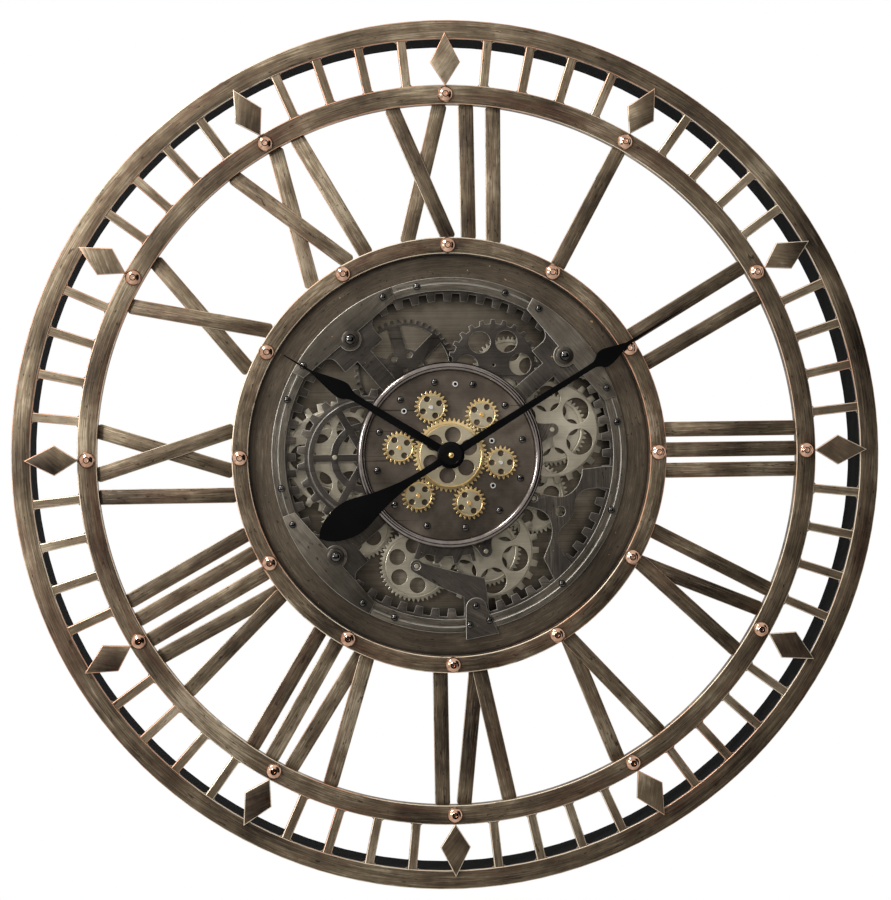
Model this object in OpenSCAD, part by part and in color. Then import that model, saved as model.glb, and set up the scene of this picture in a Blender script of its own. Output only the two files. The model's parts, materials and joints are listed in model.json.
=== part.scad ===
// Round wall clock with open gearing behind its hands. All sizes are in millimetres.
// The wall is the plane y = 0, the dial looks along -Y, and the hands turn about the Y axis.
// A level is a distance in front of the wall, and a turn is measured clockwise from twelve.

/* [Dial frame] */
// Outer radius of the rim
rim_r = 400; // [380:5:450]
// Width of the rim's face
rim_w = 17.2; // [12:0.2:24]
// Level of the rim's front face
rim_front = 50; // [48:1:56]
// Thickness of the metal face on the rim
face_t = 3; // [1:0.5:5]
// Thickness of the rubber pads behind the rim
pad_t = 2; // [1:0.5:4]
// Radius of a wall pad
pad_r = 7; // [4:0.5:8]
// Width of the band of minute marks between the rim and the middle ring
mark_band = 42.2; // [36:0.2:48]
// Width of the middle ring
mid_w = 17.8; // [14:0.2:22]
// Thickness of the middle ring
mid_t = 10; // [8:0.5:14]
// Number of arcs that the middle ring is joined from
mid_arcs = 4; // [3, 4, 6, 12]
// Width of the joint between two arcs
mid_joint = 0.1; // [0.05:0.05:0.3]
// Width of the dish between its opening and the inner ring
dish_w = 28.8; // [24:0.2:34]
// Width of the inner ring
inner_w = 15; // [12:0.5:18]
// Depth of the inner ring from front to back
inner_depth = 20; // [18:1:24]
// Height of the inner ring's front above the dish
inner_proud = 9; // [6:0.5:10]

/* [Dial marks] */
// Width of a minute bar
bar_w = 8.3; // [4:0.1:12]
// Thickness of a minute bar
bar_t = 5; // [2:0.5:8]
// Distance from the rim's front face back to the bars
bar_set = 1; // [0:0.5:2]
// Width of an hour diamond
diamond_w = 27.8; // [15:0.2:34]
// Thickness of an hour diamond
diamond_t = 3; // [1:0.5:5]
// Lap of a diamond's outer point on the rim
diamond_lap = 5.5; // [3:0.5:10]
// Distance from a diamond's outer point to its widest place
diamond_wide = 27.4; // [20:0.2:32]
// Lap of a diamond's inner point on the middle ring
diamond_toe = 1.4; // [0.4:0.2:2]
// Width of a numeral's stroke
stroke_w = 14; // [8:0.5:16]
// Thickness of a numeral's stroke
stroke_t = 3; // [1.5:0.5:4]
// Distance from the middle ring's front to the numerals
stroke_set = 4; // [2:0.5:5]
// Chamfer at a stroke's corners
stroke_cut = 3; // [0:0.5:5]
// Radius of a copper dome
dome_r = 7.4; // [4:0.2:8]
// Height of a copper dome
dome_h = 5.5; // [3:0.5:6]
// Radius of the recess in a dome
dome_pit_r = 2; // [1:0.25:3]
// Depth of the recess in a dome
dome_pit = 0.8; // [0.4:0.1:1.5]

/* [Case] */
// Outer radius of the case drum
drum_r = 164; // [163:0.5:170]
// Wall thickness of the case drum
drum_wall = 2; // [1:0.25:3]
// Thickness of the rear cover
cover_t = 1.5; // [1:0.25:2]
// Depth of the bay that holds the movement and the batteries
bay = 16.5; // [16.5:0.5:19]
// Thickness of the base plate
base_t = 2; // [1.5:0.25:3]
// Distance from the base plate to the sub plate
gear_bay = 20; // [20:0.5:24]
// Thickness of the sub plate
sub_t = 2.5; // [2:0.25:3]
// Thickness of the dish and of the brackets level with it
dish_t = 2.5; // [2:0.25:3.5]
// Lap of the dish over the drum's front edge
dish_lap = 7.5; // [5:0.5:10]
// Number of screws that hold the rear cover
cover_screws = 6; // [4:1:8]
// Radius of a cover screw's shank
screw_r = 1.5; // [1:0.25:2]
// Radius of a cover screw's head
screw_head_r = 3; // [2.5:0.25:3.5]
// Depth of the recess for a cover screw's head
screw_sink = 0.9; // [0.7:0.1:1]
// Length of a cover screw's shank behind its head
screw_len = 8; // [6:0.5:12]
// Width of the slot in a cover screw's head
slot_w = 0.8; // [0.5:0.1:1]
// Depth of that slot
slot_depth = 0.4; // [0.2:0.1:0.5]
// Distance of the screws' heads and the battery door from the wall
back_set = 0.2; // [0.1:0.1:0.4]
// Radius of the bosses for the cover screws
boss_r = 4.5; // [4:0.25:6]
// Lap of a boss into the drum's wall
boss_lap = 0.5; // [0.2:0.1:1]
// Radius of the keyhole's entry
key_r = 5.5; // [4.5:0.25:7]
// Radius of the keyhole's slot
key_slot_r = 2.6; // [2:0.2:3]
// Height of the keyhole's entry above the centre
key_z = 118; // [100:1:130]
// Length of the keyhole's slot above its entry
key_run = 14; // [10:1:20]

/* [Ring gear, trim and plates] */
// Teeth in the ring gear
ring_teeth = 60; // [48:1:72]
// Depth of the ring gear's teeth
ring_tooth = 7.3; // [5:0.1:8]
// Width of the ring gear outside its teeth
ring_band = 12.7; // [10:0.1:15]
// Thickness of the ring gear
ring_t = 2.5; // [1.5:0.25:3]
// Width of the trim strip
trim_w = 12.4; // [11:0.2:14]
// Thickness of the trim strip
trim_t = 2; // [1:0.25:3]
// Distance of the groove from the trim strip's outer edge
trim_groove_in = 5.5; // [4:0.5:7]
// Depth of an engraved groove
groove = 0.5; // [0.2:0.1:0.8]
// Width of an engraved groove
groove_w = 0.8; // [0.4:0.1:1.2]
// Turns of the three cover plates
plate_turns = [49.9, 229.2, 319.9];
// Half angle of a cover plate
plate_half = 21.4; // [18:0.2:24]
// Distance of a cover plate's straight edge from the drum's outside
plate_in = 22.5; // [20:0.5:26]
// Thickness of a cover plate
plate_t = 3.2; // [2:0.2:4]
// Radius of the round lobe on a cover plate
lobe_r = 10.6; // [9:0.2:13]
// Distance of the lobe's centre from the drum's outside
lobe_in = 23.5; // [21:0.5:27]
// Half width of an arm's neck
neck_half = 8; // [5:0.5:12]
// Half width of an arm's head
head_half = 23; // [18:0.5:26]
// Distance of an arm's inner end from the centre
arm_from = 60; // [54:1:66]
// Distance of an arm's head from the drum's outside
head_in = 43.5; // [38:0.5:49]
// Radius of the hollow where an arm's head meets its plate
head_hollow = 9; // [4:0.5:9]

/* [Centre disc] */
// Radius of the centre disc
disc_r = 86; // [84:0.5:88]
// Thickness of the centre disc
disc_t = 2.5; // [2:0.25:4]
// Radius of the half-round wire along the disc's edge
wire_r = 4.1; // [2:0.1:5]
// Radius of the sub plate
sub_r = 78; // [74:0.5:80]
// Rivets on the centre disc
disc_rivets = 12; // [6:1:16]
// Distance of those rivets from the centre
disc_rivet_at = 68.5; // [66:0.5:72]
// Radius of a small rivet's head
rivet_r = 3.3; // [2:0.1:3.6]
// Height of a small rivet's head
rivet_h = 2.7; // [1.5:0.1:3]
// Radius of a large rivet's head
big_rivet_r = 5; // [4:0.1:6]
// Height of a large rivet's head
big_rivet_h = 4; // [2:0.1:4.5]
// Radius of a large rivet's shank
big_shank_r = 2.5; // [1.5:0.1:3]
// Radius of the washer under a large rivet
washer_r = 8; // [6.5:0.1:8.6]
// Thickness of that washer
washer_t = 1; // [0.5:0.1:1.5]
// Radius of a small eyelet
eyelet_r = 2.8; // [2:0.1:3.4]
// Height of a small eyelet
eyelet_h = 1.2; // [0.6:0.1:2]
// Distance of the three pillars from the centre
pillar_at = 42; // [41.5:0.25:42.5]
// Radius of a pillar
pillar_r = 3.6; // [2.5:0.1:4]
// Radius of a pillar's spigot
spigot_r = 2; // [1.5:0.1:2.2]

/* [Gears] */
// Module of the fine gears
fine_m = 1.371; // [1.36:0.001:1.38]
// Teeth of a fine wheel and of the sun gear
wheel_teeth = 48; // [48:12:48]
// Teeth of a planet gear
planet_teeth = 21; // [21:1:21]
// Teeth of the pinion behind the third planet
link_teeth = 18; // [18:1:18]
// Teeth of the motor's pinion
motor_teeth = 12; // [12:1:12]
// Pressure angle of the fine teeth
pressure = 25; // [24:0.5:26]
// Play at the pitch circle taken off each tooth
mesh_play = 0.22; // [0.15:0.01:0.3]
// Tooth height above the pitch circle, in modules
addendum = 0.92; // [0.85:0.01:0.95]
// Tooth depth below the pitch circle, in modules
dedendum = 1.2; // [1.15:0.01:1.3]
// Thickness of a fine gear
fine_t = 2.2; // [1.5:0.1:2.4]
// Radius of the six holes in a fine wheel
fine_hole_r = 7.4; // [5:0.1:8]
// Distance of those holes from the wheel's centre
fine_hole_at = 18.7; // [17:0.1:19]
// Radius of the four holes in a planet gear
planet_hole_r = 2.8; // [1.5:0.1:3]
// Distance of those holes from the planet's centre
planet_hole_at = 8.4; // [7.5:0.1:8.6]
// Radius at the coarse wheels' tooth tips
coarse_tip_r = 50.2; // [48:0.1:51]
// Radius at the coarse wheels' tooth roots
coarse_root_r = 44.7; // [43:0.1:45.5]
// Thickness of a coarse wheel
coarse_t = 3; // [2:0.25:3.5]
// Height of the raised middle of a coarse wheel above its teeth
coarse_step = 0.7; // [0.2:0.1:1]
// Distance from the raised middle's edge to the coarse wheel's tooth roots
coarse_land = 1.5; // [0.5:0.1:3]
// Radius of the six holes in a coarse wheel
coarse_hole_r = 12.2; // [8:0.1:13]
// Distance of those holes from the coarse wheel's centre
coarse_hole_at = 29; // [28:0.5:30]
// Teeth of the coarse wheels
coarse_teeth = 24; // [18:1:30]
// Inset of the groove on a fine wheel from its pitch circle
fine_groove_in = 4.6; // [3:0.1:6]
// Inset of the groove on a planet gear from its pitch circle
planet_groove_in = 2.9; // [2.4:0.1:3.4]
// Gap between a fine wheel and the coarse wheel in front of it
coarse_gap = 1.8; // [1:0.1:3]
// Gap between the centre disc and the sun gear
sun_gap = 1.5; // [1:0.1:2.5]
// Gap between the threaded bush's nut and the wheel that drives the sun gear
drive_gap = 0.9; // [0.6:0.1:1.5]
// Extra thickness of the motor's pinion
pinion_more = 0.4; // [0.2:0.1:1]
// Radius of a wheel's arbor
arbor_r = 2; // [1.5:0.1:2.4]
// Wall of the bush round an arbor
arbor_bush_wall = 2.5; // [1.5:0.1:3]
// Height of that bush in front of the base plate
arbor_bush_run = 4.5; // [3:0.1:5]
// Height of the hub behind a fine wheel
hub_step = 1.2; // [0.8:0.1:2]
// Width of the collar on a planet's arbor
collar_w = 1.4; // [0.8:0.1:2]
// Height of a planet's arbor in front of its gear
planet_pin = 1.6; // [0.6:0.1:2]
// Height of an arbor's end in front of the plate that carries it
arbor_proud = 1.4; // [0.4:0.1:2]
// Depth of the sink round an arbor's end in a bracket
sink = 1; // [0.5:0.1:1.5]
// Width of that sink
sink_w = 1.6; // [0.8:0.1:2]
// Radius of a wheel's hub
hub_r = 5.5; // [4.5:0.1:7]
// Radial clearance of a turning shaft
run = 0.05; // [0.03:0.01:0.08]
// End play of a turning shaft
end_play = 0.3; // [0.2:0.05:0.4]

/* [Fixed wheels] */
// Centre of the spoked wheel at the left, across
spoked_x = -77.1; // [-78:0.1:-76]
// Centre of the spoked wheel at the left, up
spoked_z = -1.5; // [-2.5:0.1:-0.5]
// Radius at the spoked wheel's tooth tips
spoked_tip_r = 64; // [62:0.2:64.6]
// Radius at the spoked wheel's tooth roots
spoked_root_r = 57.5; // [56:0.2:59]
// Inner radius of the spoked wheel's rim
spoked_rim_r = 47.9; // [45:0.1:50]
// Centre radius of the ring that ties the spokes together
spoked_tie_r = 29.3; // [28:0.1:30]
// Width of that ring and of the spokes
spoked_w = 7; // [6:0.1:9]
// Distance of the pinholes from the spoked wheel's centre
spoked_pin_at = 37.3; // [34:0.1:40]
// Radius of those pinholes
spoked_pin_r = 1.2; // [0.8:0.1:2]
// Radius of the groove on the spoked wheel
spoked_groove_r = 53.5; // [50:0.1:56]
// Centre of the upper left wheel, across
left_x = -39; // [-41:0.1:-37]
// Centre of the upper left wheel, up
left_z = 79.6; // [78:0.1:81]
// Radius at the upper left wheel's tooth tips
left_tip_r = 47.5; // [46:0.1:49]
// Depth of its teeth
left_tooth = 3.3; // [2.5:0.1:4]
// Inner radius of its rim
left_rim_r = 41.5; // [39:0.1:43]
// Width of its spokes
left_spoke_w = 12; // [8:0.5:14]
// Radius of its round middle
left_mid_r = 20; // [16:0.5:24]
// Radius of the holes in its middle
left_hole_r = 2.8; // [2:0.1:4]
// Distance of those holes from its centre
left_hole_at = 14.8; // [12:0.1:16]
// Radius of its centre hole
left_bore_r = 2; // [1:0.1:3]
// Centre of the upper right wheel, across
right_x = 42; // [41:0.1:43]
// Centre of the upper right wheel, up
right_z = 82.8; // [82:0.1:84]
// Radius at the upper right wheel's tooth tips
right_tip_r = 42.4; // [41:0.1:43]
// Depth of its teeth
right_tooth = 4; // [3:0.1:5]
// Radius of its six holes
right_hole_r = 10; // [7:0.1:11]
// Distance of those holes from its centre
right_hole_at = 24.7; // [23:0.1:26]
// Radius of its centre hole
right_bore_r = 1.4; // [1:0.1:2]
// Thickness of the fixed wheels
fixed_t = 2.5; // [1.5:0.1:2.5]

/* [Hands] */
// Turn of the hour hand
hour_turn = 301.7; // [0:0.1:360]
// Turn of the minute hand
minute_turn = 58.6; // [0:0.1:360]
// Radius of the hands' round hubs
hand_hub_r = 12.4; // [8:0.1:14]
// Thickness of a hand
hand_t = 1.6; // [1:0.1:2]
// Level of the hour hand's back
hour_back = 55.5; // [55:0.1:56]
// Gap between the copper domes and the minute hand
hand_gap = 1; // [0.6:0.1:2]
// Radius of the minute arbor
minute_arbor_r = 1.5; // [1.2:0.1:1.7]
// Wall of the hour pipe
pipe_wall = 1; // [0.6:0.1:1.2]
// Outer radius of the threaded bush
bush_r = 4; // [3.8:0.1:4.4]
// Length of the threaded bush in front of the base plate
bush_run = 5; // [4:0.5:7]
// Thickness of the nut on the threaded bush
bush_nut_t = 2; // [1.5:0.1:2.5]
// Distance across that nut's corners
bush_nut_w = 16; // [12:0.5:18]
// Radius of the domed nut on the hands
nut_r = 3.3; // [2.5:0.1:4.5]
// Height of the domed nut
nut_h = 4; // [3:0.1:5]
// Bore of the sun gear's tube
tube_in_r = 4.9; // [4.7:0.05:5.2]
// Outer radius of the sun gear's tube
tube_r = 6.5; // [6:0.1:7]
// Outer radius of the tube's bush in the disc
tube_bush_r = 9; // [8:0.1:10]
// Width of that bush's flange
tube_flange = 1.5; // [1:0.1:2]
// Depth of the hands' arbors inside the movement
arbor_depth = 5; // [4:0.5:8]

/* [Power] */
// Width and height of the clock movement
move_w = 56; // [54:0.5:60]
// Distance from the movement's upper edge to its shaft
move_top = 20; // [18:0.5:22]
// Gap between the movement and the battery box below it
box_gap = 2; // [1:0.5:4]
// Radius of an AA cell
cell_r = 7.1; // [6.9:0.05:7.2]
// Length of an AA cell without its cap
cell_len = 49.4; // [48:0.1:50]
// Radius of an AA cell's cap
cap_r = 2.6; // [2:0.1:2.8]
// Length of an AA cell's cap
cap_len = 1; // [0.5:0.1:1.2]
// Clearance around a cell
cell_gap = 0.4; // [0.3:0.05:0.6]
// Wall between and around the cells
cell_wall = 1.4; // [1:0.1:2]
// Clearance around the battery door
door_gap = 0.3; // [0.2:0.05:0.5]
// Lap of the battery door past the cells' bays
door_lap = 1.5; // [1:0.1:3]
// Width of the grip in the battery door
grip_w = 16; // [10:1:24]
// Height of the grip
grip_h = 3; // [2:0.5:5]
// Depth of the grip
grip_depth = 0.6; // [0.4:0.1:0.8]
// Distance from the battery door's upper edge to the grip's lower edge
grip_drop = 6; // [5:0.5:8]
// Radius of the drive motor
motor_r = 12; // [9:0.5:13]
// Radius of the drive motor's shaft
motor_shaft_r = 1.5; // [1:0.1:2]
// Room round the motor's shaft in the base plate
shaft_room = 1; // [0.5:0.1:2]
// Depth of a shaft's bore in the motor
shaft_bore = 6; // [5:0.5:10]
// Radius of the setting knob
knob_r = 5; // [4:0.1:5.5]
// Radius of the setting knob's shaft
knob_shaft_r = 1.25; // [1:0.05:1.5]
// Length of that shaft inside the movement
knob_shaft_run = 3; // [2:0.5:4]
// Distance of the setting knob from the wall
knob_set = 0.3; // [0.2:0.1:0.5]
// Gap between the setting knob and the movement
knob_play = 0.2; // [0.1:0.1:0.3]
// Height of the setting knob above the centre
knob_z = 11; // [10.5:0.1:13]
// Width of the switch's slider
slider_w = 5; // [4:0.1:6]
// Thickness of the switch's slider
slider_t = 3.5; // [2.5:0.5:4.5]
// Distance of the switch's slider from the wall
slider_set = 0.4; // [0.2:0.1:0.6]
// Travel of the switch's slider
slider_run = 3; // [2:0.1:4]
// Height of the switch's housing
switch_h = 9; // [8:0.5:10]
// Depth of the slider's slot in that housing
switch_depth = 4; // [3:0.5:6]

/* [Hidden] */
$fn = 96;

bronze = "#6e6450";
gunmetal = "#524b42";
dark_steel = "#4a453e";
champagne = "#aca28a";
brass = "#c9a766";
copper = "#b87a58";
chrome_grey = "#b9b9bd";
black = "#141414";

// Levels, from the wall forward
base_back = cover_t + bay;
base_front = base_back + base_t;
sub_back = base_front + gear_bay;
sub_front = sub_back + sub_t;
dish_front = sub_front + dish_t;
trim_front = dish_front + trim_t;
plate_front = dish_front + plate_t;
disc_front = dish_front + disc_t;
inner_front = dish_front + inner_proud;
inner_back = inner_front - inner_depth;
mid_back = rim_front - mid_t;
stroke_front = rim_front - stroke_set;
bush_front = base_front + arbor_bush_run;
fine_back = bush_front + end_play + hub_step;
fine_front = fine_back + fine_t;
coarse_back = fine_front + coarse_gap;
drive_back = base_front + bush_nut_t + drive_gap;
sun_back = disc_front + sun_gap;
sun_front = sun_back + fine_t;
minute_back = inner_front + dome_h + hand_gap;
minute_front = minute_back + hand_t;

// Distance of the trim strip's rivets from the drum's outside
rivet_in = 6;
// Lap of the forked bracket and the lever over the dish
end_lap = 3.5;
// Radii that follow from the sizes above
rim_in_r = rim_r - rim_w;
mid_r = rim_in_r - mark_band;
mid_in_r = mid_r - mid_w;
dish_in_r = drum_r - dish_lap;
inner_in_r = dish_in_r + dish_w;
inner_r = inner_in_r + inner_w;
trim_in_r = drum_r - trim_w;
trim_groove_r = drum_r - trim_groove_in;
plate_chord = drum_r - plate_in;
lobe_at = drum_r - lobe_in;
head_at = drum_r - head_in;
rivet_at = drum_r - rivet_in;
drum_in_r = drum_r - drum_wall;
ring_root_r = drum_in_r - ring_band;
ring_tip_r = ring_root_r - ring_tooth;
pipe_r = minute_arbor_r + run + pipe_wall;
seat_r = (rim_r + rim_in_r) / 2;
mid_seat_r = (mid_r + mid_in_r) / 2;
inner_seat_r = (inner_r + inner_in_r) / 2;
boss_at = drum_in_r - boss_r + boss_lap;
arbor_bush_r = arbor_r + arbor_bush_wall;

// Gear radii and the places of the wheels; a place is [across, up]
wheel_r = fine_m * wheel_teeth / 2;
planet_r = fine_m * planet_teeth / 2;
link_r = fine_m * link_teeth / 2;
planet_at = wheel_r + planet_r;
motor_at = wheel_r + fine_m * motor_teeth / 2;
planet_first = -21;
planet_turns = [for (k = [0:5]) planet_first + 60 * k];
planet_hole_turns = [-26, 34, 0, -29, 47, -32];
function place(from, turn, r) = [from.x + r * sin(turn), from.y + r * cos(turn)];
planets = [for (t = planet_turns) place([0, 0], t, planet_at)];

// Headings along the train of seven wheels: the first is from the third planet to wheel 1
link_turn = 137.8;
train_turns = [16.2, -35.9, 222.7, 258.8, -53.7, -18.5];
wheel_1 = place(planets[2], link_turn, link_r + wheel_r);
wheel_2 = place(wheel_1, train_turns[0], 2 * wheel_r);
wheel_3 = place(wheel_2, train_turns[1], 2 * wheel_r);
wheel_4 = place(wheel_1, train_turns[2], 2 * wheel_r);
wheel_5 = place(wheel_4, train_turns[3], 2 * wheel_r);
wheel_6 = place(wheel_5, train_turns[4], 2 * wheel_r);
wheel_7 = place(wheel_6, train_turns[5], 2 * wheel_r);
wheels = [wheel_1, wheel_2, wheel_3, wheel_4, wheel_5, wheel_6, wheel_7];

// Turn of one tooth of a gear that meshes with another gear's tooth at turn t1
function mesh_turn(heading, n1, t1, n2) = heading + 180 - (180 - n1 * (heading - t1)) / n2;
sun_tooth = 0;
planet_tooth = [for (t = planet_turns) mesh_turn(t, wheel_teeth, sun_tooth, planet_teeth)];
motor_tooth = mesh_turn(0, wheel_teeth, sun_tooth, motor_teeth);
link_tooth = planet_tooth[2];
tooth_1 = mesh_turn(link_turn, link_teeth, link_tooth, wheel_teeth);
tooth_2 = mesh_turn(train_turns[0], wheel_teeth, tooth_1, wheel_teeth);
tooth_3 = mesh_turn(train_turns[1], wheel_teeth, tooth_2, wheel_teeth);
tooth_4 = mesh_turn(train_turns[2], wheel_teeth, tooth_1, wheel_teeth);
tooth_5 = mesh_turn(train_turns[3], wheel_teeth, tooth_4, wheel_teeth);
tooth_6 = mesh_turn(train_turns[4], wheel_teeth, tooth_5, wheel_teeth);
tooth_7 = mesh_turn(train_turns[5], wheel_teeth, tooth_6, wheel_teeth);

pillar_turns = [28, 133, 204];
cover_screw_turns = [for (k = [0:cover_screws - 1]) 360 * (k + 0.5) / cover_screws];
lap = 1;
ring_share = [0.44, 0.56];
block_share = [0.34, 0.56];
fine_block_share = [0.36, 0.6];
coarse_share = [0.4, 0.54];
rivet_turn = -10.4;
disc_rivet_turn = -11.2;
plate_rivet_turn = 17.8;
eyelets = [[5.7, 65.4], [-41.9, 41], [38.8, 12.7], [39.4, -28.6]];

// Numerals 1 to 12: each stroke is [front layer, offset at its outer end, offset at its inner end]
numerals = [
    [[1, -1, 2]],
    [[1, -11, -9], [1, 21, 20]],
    [[1, -21, -21], [1, -2, -2], [1, 17, 17]],
    [[1, -36, -31], [0, -16, 1], [1, 28, 0]],
    [[0, 10, -8], [1, -36, -8]],
    [[1, 11, 11.5], [0, -9, -22], [1, -51, -25]],
    [[1, 28, 25.5], [1, 7.5, 7], [0, -13, -18], [1, -52, -24]],
    [[1, 35.5, 33.5], [1, 17, 15], [1, -4.5, -6], [0, -23, -27], [1, -63, -31]],
    [[1, -14, 25.5], [0, 26.5, -12], [1, -34, -34]],
    [[1, -24, 19], [0, 23, -22]],
    [[1, -40, 11], [0, 6, -29], [1, 28, 28.5]],
    [[1, -49, 1.5], [0, -5, -36.5], [1, 19, 20], [1, 44, 43]]
];

// Half widths of the hands at distances from the centre: [distance, half width]
hour_shape = [[0, 3.8], [60, 3.5], [103, 3.4], [108, 5], [113, 7.4], [118, 7.8], [126, 6.4], [136, 4],
              [146, 1.7], [150, 1.1], [178, 0.5]];
minute_shape = [[0, 3.8], [100, 3], [155, 2.6], [160, 4.6], [164, 7.6], [169, 8.2], [176, 6.6],
                [186, 3.4], [196, 1.5], [252, 0.5]];
tail_shape = [[0, 3.8], [35, 3], [55, 4.6], [80, 9.4], [95, 14], [105, 16], [115, 15.6], [125, 13],
              [132, 9.8], [138, 5.4], [142, 0.4]];

// Outline of the forked bracket, clockwise from its upper end, as [across, up]
fork_end = dish_in_r + end_lap;
fork_shape = [[fork_end, -14.6], [123, -14.6], [122.6, -15.4], [121.6, -21.8], [116.8, -31.7],
              [105.6, -39.4], [89.5, -38.2], [72, -33], [58, -30], [60, -46], [73.4, -49], [85.8, -53.5],
              [91.5, -60], [93.8, -71.4], [92, -81], [85.8, -96.2], [86.2, -97.6], [104, -125], [124, -112],
              [111.6, -102], [111, -101.2], [103.1, -91.2], [98.8, -80.1], [101.9, -70.1], [109.4, -62.7],
              [114.3, -55.3], [116.4, -42.4], [125.4, -33.8], [145, -32.9], [fork_end, -32.9]];
fork_hole = [101.9, -53.5];
fork_hole_r = 4.6;
// Outline of the lever's arm
lever_end = -dish_in_r - end_lap;
lever_shape = [[-35.5, -96.2], [5, -107.9], [30.6, -113.9], [32.4, -123.5], [36, lever_end], [12, lever_end],
               [11, -131], [-13.5, -120.4], [-36.8, -106.6]];
lever_boss_r = 6.2;
// Outline of the foot bracket below its round top; heights are above the drum's lower edge
foot_shape = [[12.6, 22.5], [12.6, -6.8], [43.4, -1.2], [32.2, 22.5]];
foot_top = [22.4, 22.5];
foot_top_r = 9.8;
foot_rivets = [[22.1, 24.6], [16.4, 7.2], [34.6, 11.1]];

// Plates and rods lie parallel to the wall: 2D x stays across and 2D y becomes up
module plate(back, t) {
    translate([0, -back, 0])
        rotate([90, 0, 0])
            linear_extrude(t)
                children();
}

module rod(at, back, front, r) {
    plate(back, front - back)
        translate(at)
            circle(r);
}

// A ring of rectangular section
module hoop(outer, inner, back, t) {
    plate(back, t)
        difference() {
            circle(outer, $fn = 240);
            circle(inner, $fn = 240);
        }
}

// A groove cut round a place, for use inside a difference
module ring_groove(at, r, front) {
    plate(front - groove, 2 * groove)
        translate(at)
            difference() {
                circle(r + groove_w / 2);
                circle(r - groove_w / 2);
            }
}

// A domed head on a flat face
module dome(at, back, r, h) {
    ball_r = (r * r + h * h) / (2 * h);
    intersection() {
        translate([at.x, -(back + h - ball_r), at.y])
            sphere(ball_r);
        rod(at, back, back + h, r);
    }
}

// Copies set round the dial at the given turns
module around(turns) {
    for (t = turns)
        rotate([0, t, 0])
            children();
}

// Involute angle at radius r on a base circle, in degrees
function involute(base_r, r) =
    let (t = sqrt(max(0, (r / base_r) ^ 2 - 1)))
    t * 180 / PI - atan(t);

function polar(r, turn) = [r * sin(turn), r * cos(turn)];

// Outline of a fine gear with one tooth at the given turn
flank_steps = 2;
function fine_outline(teeth, turn) =
    let (
        pitch_r = fine_m * teeth / 2,
        base_r = pitch_r * cos(pressure),
        root_r = pitch_r - dedendum * fine_m,
        start_r = max(base_r, root_r),
        tip_r = pitch_r + addendum * fine_m,
        half = (PI * fine_m / 2 - mesh_play) / (2 * pitch_r) * 180 / PI + involute(base_r, pitch_r),
        steps = [for (i = [0:flank_steps]) start_r + (tip_r - start_r) * i / flank_steps],
        low = start_r > root_r + 0.05 ? [root_r] : [],
        up = concat(low, steps)
    )
    [for (k = [0:teeth - 1])
        for (side = [-1, 1])
            for (i = [0:len(up) - 1])
                let (r = side < 0 ? up[i] : up[len(up) - 1 - i])
                polar(r, turn + 360 * k / teeth + side * (half - involute(base_r, max(r, base_r))))];

// Outline of a wheel with straight-sided teeth; share is a tooth's part of one pitch at [tip, root]
function block_outline(teeth, tip_r, root_r, share, turn) =
    [for (k = [0:teeth - 1])
        for (p = [[root_r, -share[1]], [tip_r, -share[0]], [tip_r, share[0]], [root_r, share[1]]])
            polar(p[0], turn + 360 / teeth * (k + p[1] / 2))];

// Smooth curve through a closed row of points
curve_steps = 4;
function heading(a, b, size) = (b - a) / max(norm(b - a), 0.001) * size;
function bend(a, b, c, d, s) =
    let (
        out = heading(a, c, norm(c - b)),
        into = heading(b, d, norm(c - b))
    )
    (2 * s ^ 3 - 3 * s ^ 2 + 1) * b + (s ^ 3 - 2 * s ^ 2 + s) * out
    + (3 * s ^ 2 - 2 * s ^ 3) * c + (s ^ 3 - s ^ 2) * into;
function closed_curve(p) =
    let (n = len(p))
    [for (i = [0:n - 1])
        for (j = [0:curve_steps - 1])
            bend(p[(i + n - 1) % n], p[i], p[(i + 1) % n], p[(i + 2) % n], j / curve_steps)];
// Smooth curve through an open row of points
function open_curve(p) =
    let (n = len(p))
    concat([for (i = [0:n - 2])
        for (j = [0:curve_steps - 1])
            bend(p[max(i - 1, 0)], p[i], p[i + 1], p[min(i + 2, n - 1)], j / curve_steps)],
        [p[n - 1]]);

module holes(count, turn, at, r) {
    for (k = [0:count - 1])
        translate(polar(at, turn + 360 * k / count))
            circle(r);
}

module rim_hoop() {
    color(black)
        hoop(rim_r, rim_in_r, pad_t, rim_front - face_t - pad_t);
}

module rim_face() {
    color(bronze)
        hoop(rim_r, rim_in_r, rim_front - face_t, face_t);
}

module wall_pads() {
    color(black)
        around([30:60:330])
            rod([0, seat_r], 0, pad_t, pad_r);
}

module minute_bars() {
    color(bronze)
        for (k = [0:59])
            if (k % 5 != 0)
                rotate([0, 6 * k, 0])
                    plate(rim_front - bar_set - bar_t, bar_t)
                        intersection() {
                            translate([-bar_w / 2, mid_in_r])
                                square([bar_w, rim_r - mid_in_r]);
                            difference() {
                                circle(rim_in_r, $fn = 240);
                                circle(mid_r, $fn = 240);
                            }
                        }
}

module hour_diamonds() {
    outer = rim_in_r + diamond_lap;
    wide = outer - diamond_wide;
    color(bronze)
        around([0:30:330])
            plate(rim_front, diamond_t)
                polygon([[0, outer], [diamond_w / 2, wide],
                         [0, mid_r - diamond_toe], [-diamond_w / 2, wide]]);
}

// The joints between the arcs lie under copper domes
module middle_ring() {
    color(bronze)
        difference() {
            hoop(mid_r, mid_in_r, mid_back, mid_t);
            around([0:360 / mid_arcs:359])
                plate(mid_back - 1, mid_t + 2)
                    translate([-mid_joint / 2, mid_in_r - 1])
                        square([mid_joint, mid_w + 2]);
        }
}

module inner_ring() {
    color(bronze)
        hoop(inner_r, inner_in_r, inner_back, inner_depth);
}

module copper_dome(at, back) {
    difference() {
        dome(at, back, dome_r, dome_h);
        rod(at, back + dome_h - dome_pit, back + dome_h + 1, dome_pit_r);
    }
}

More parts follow.
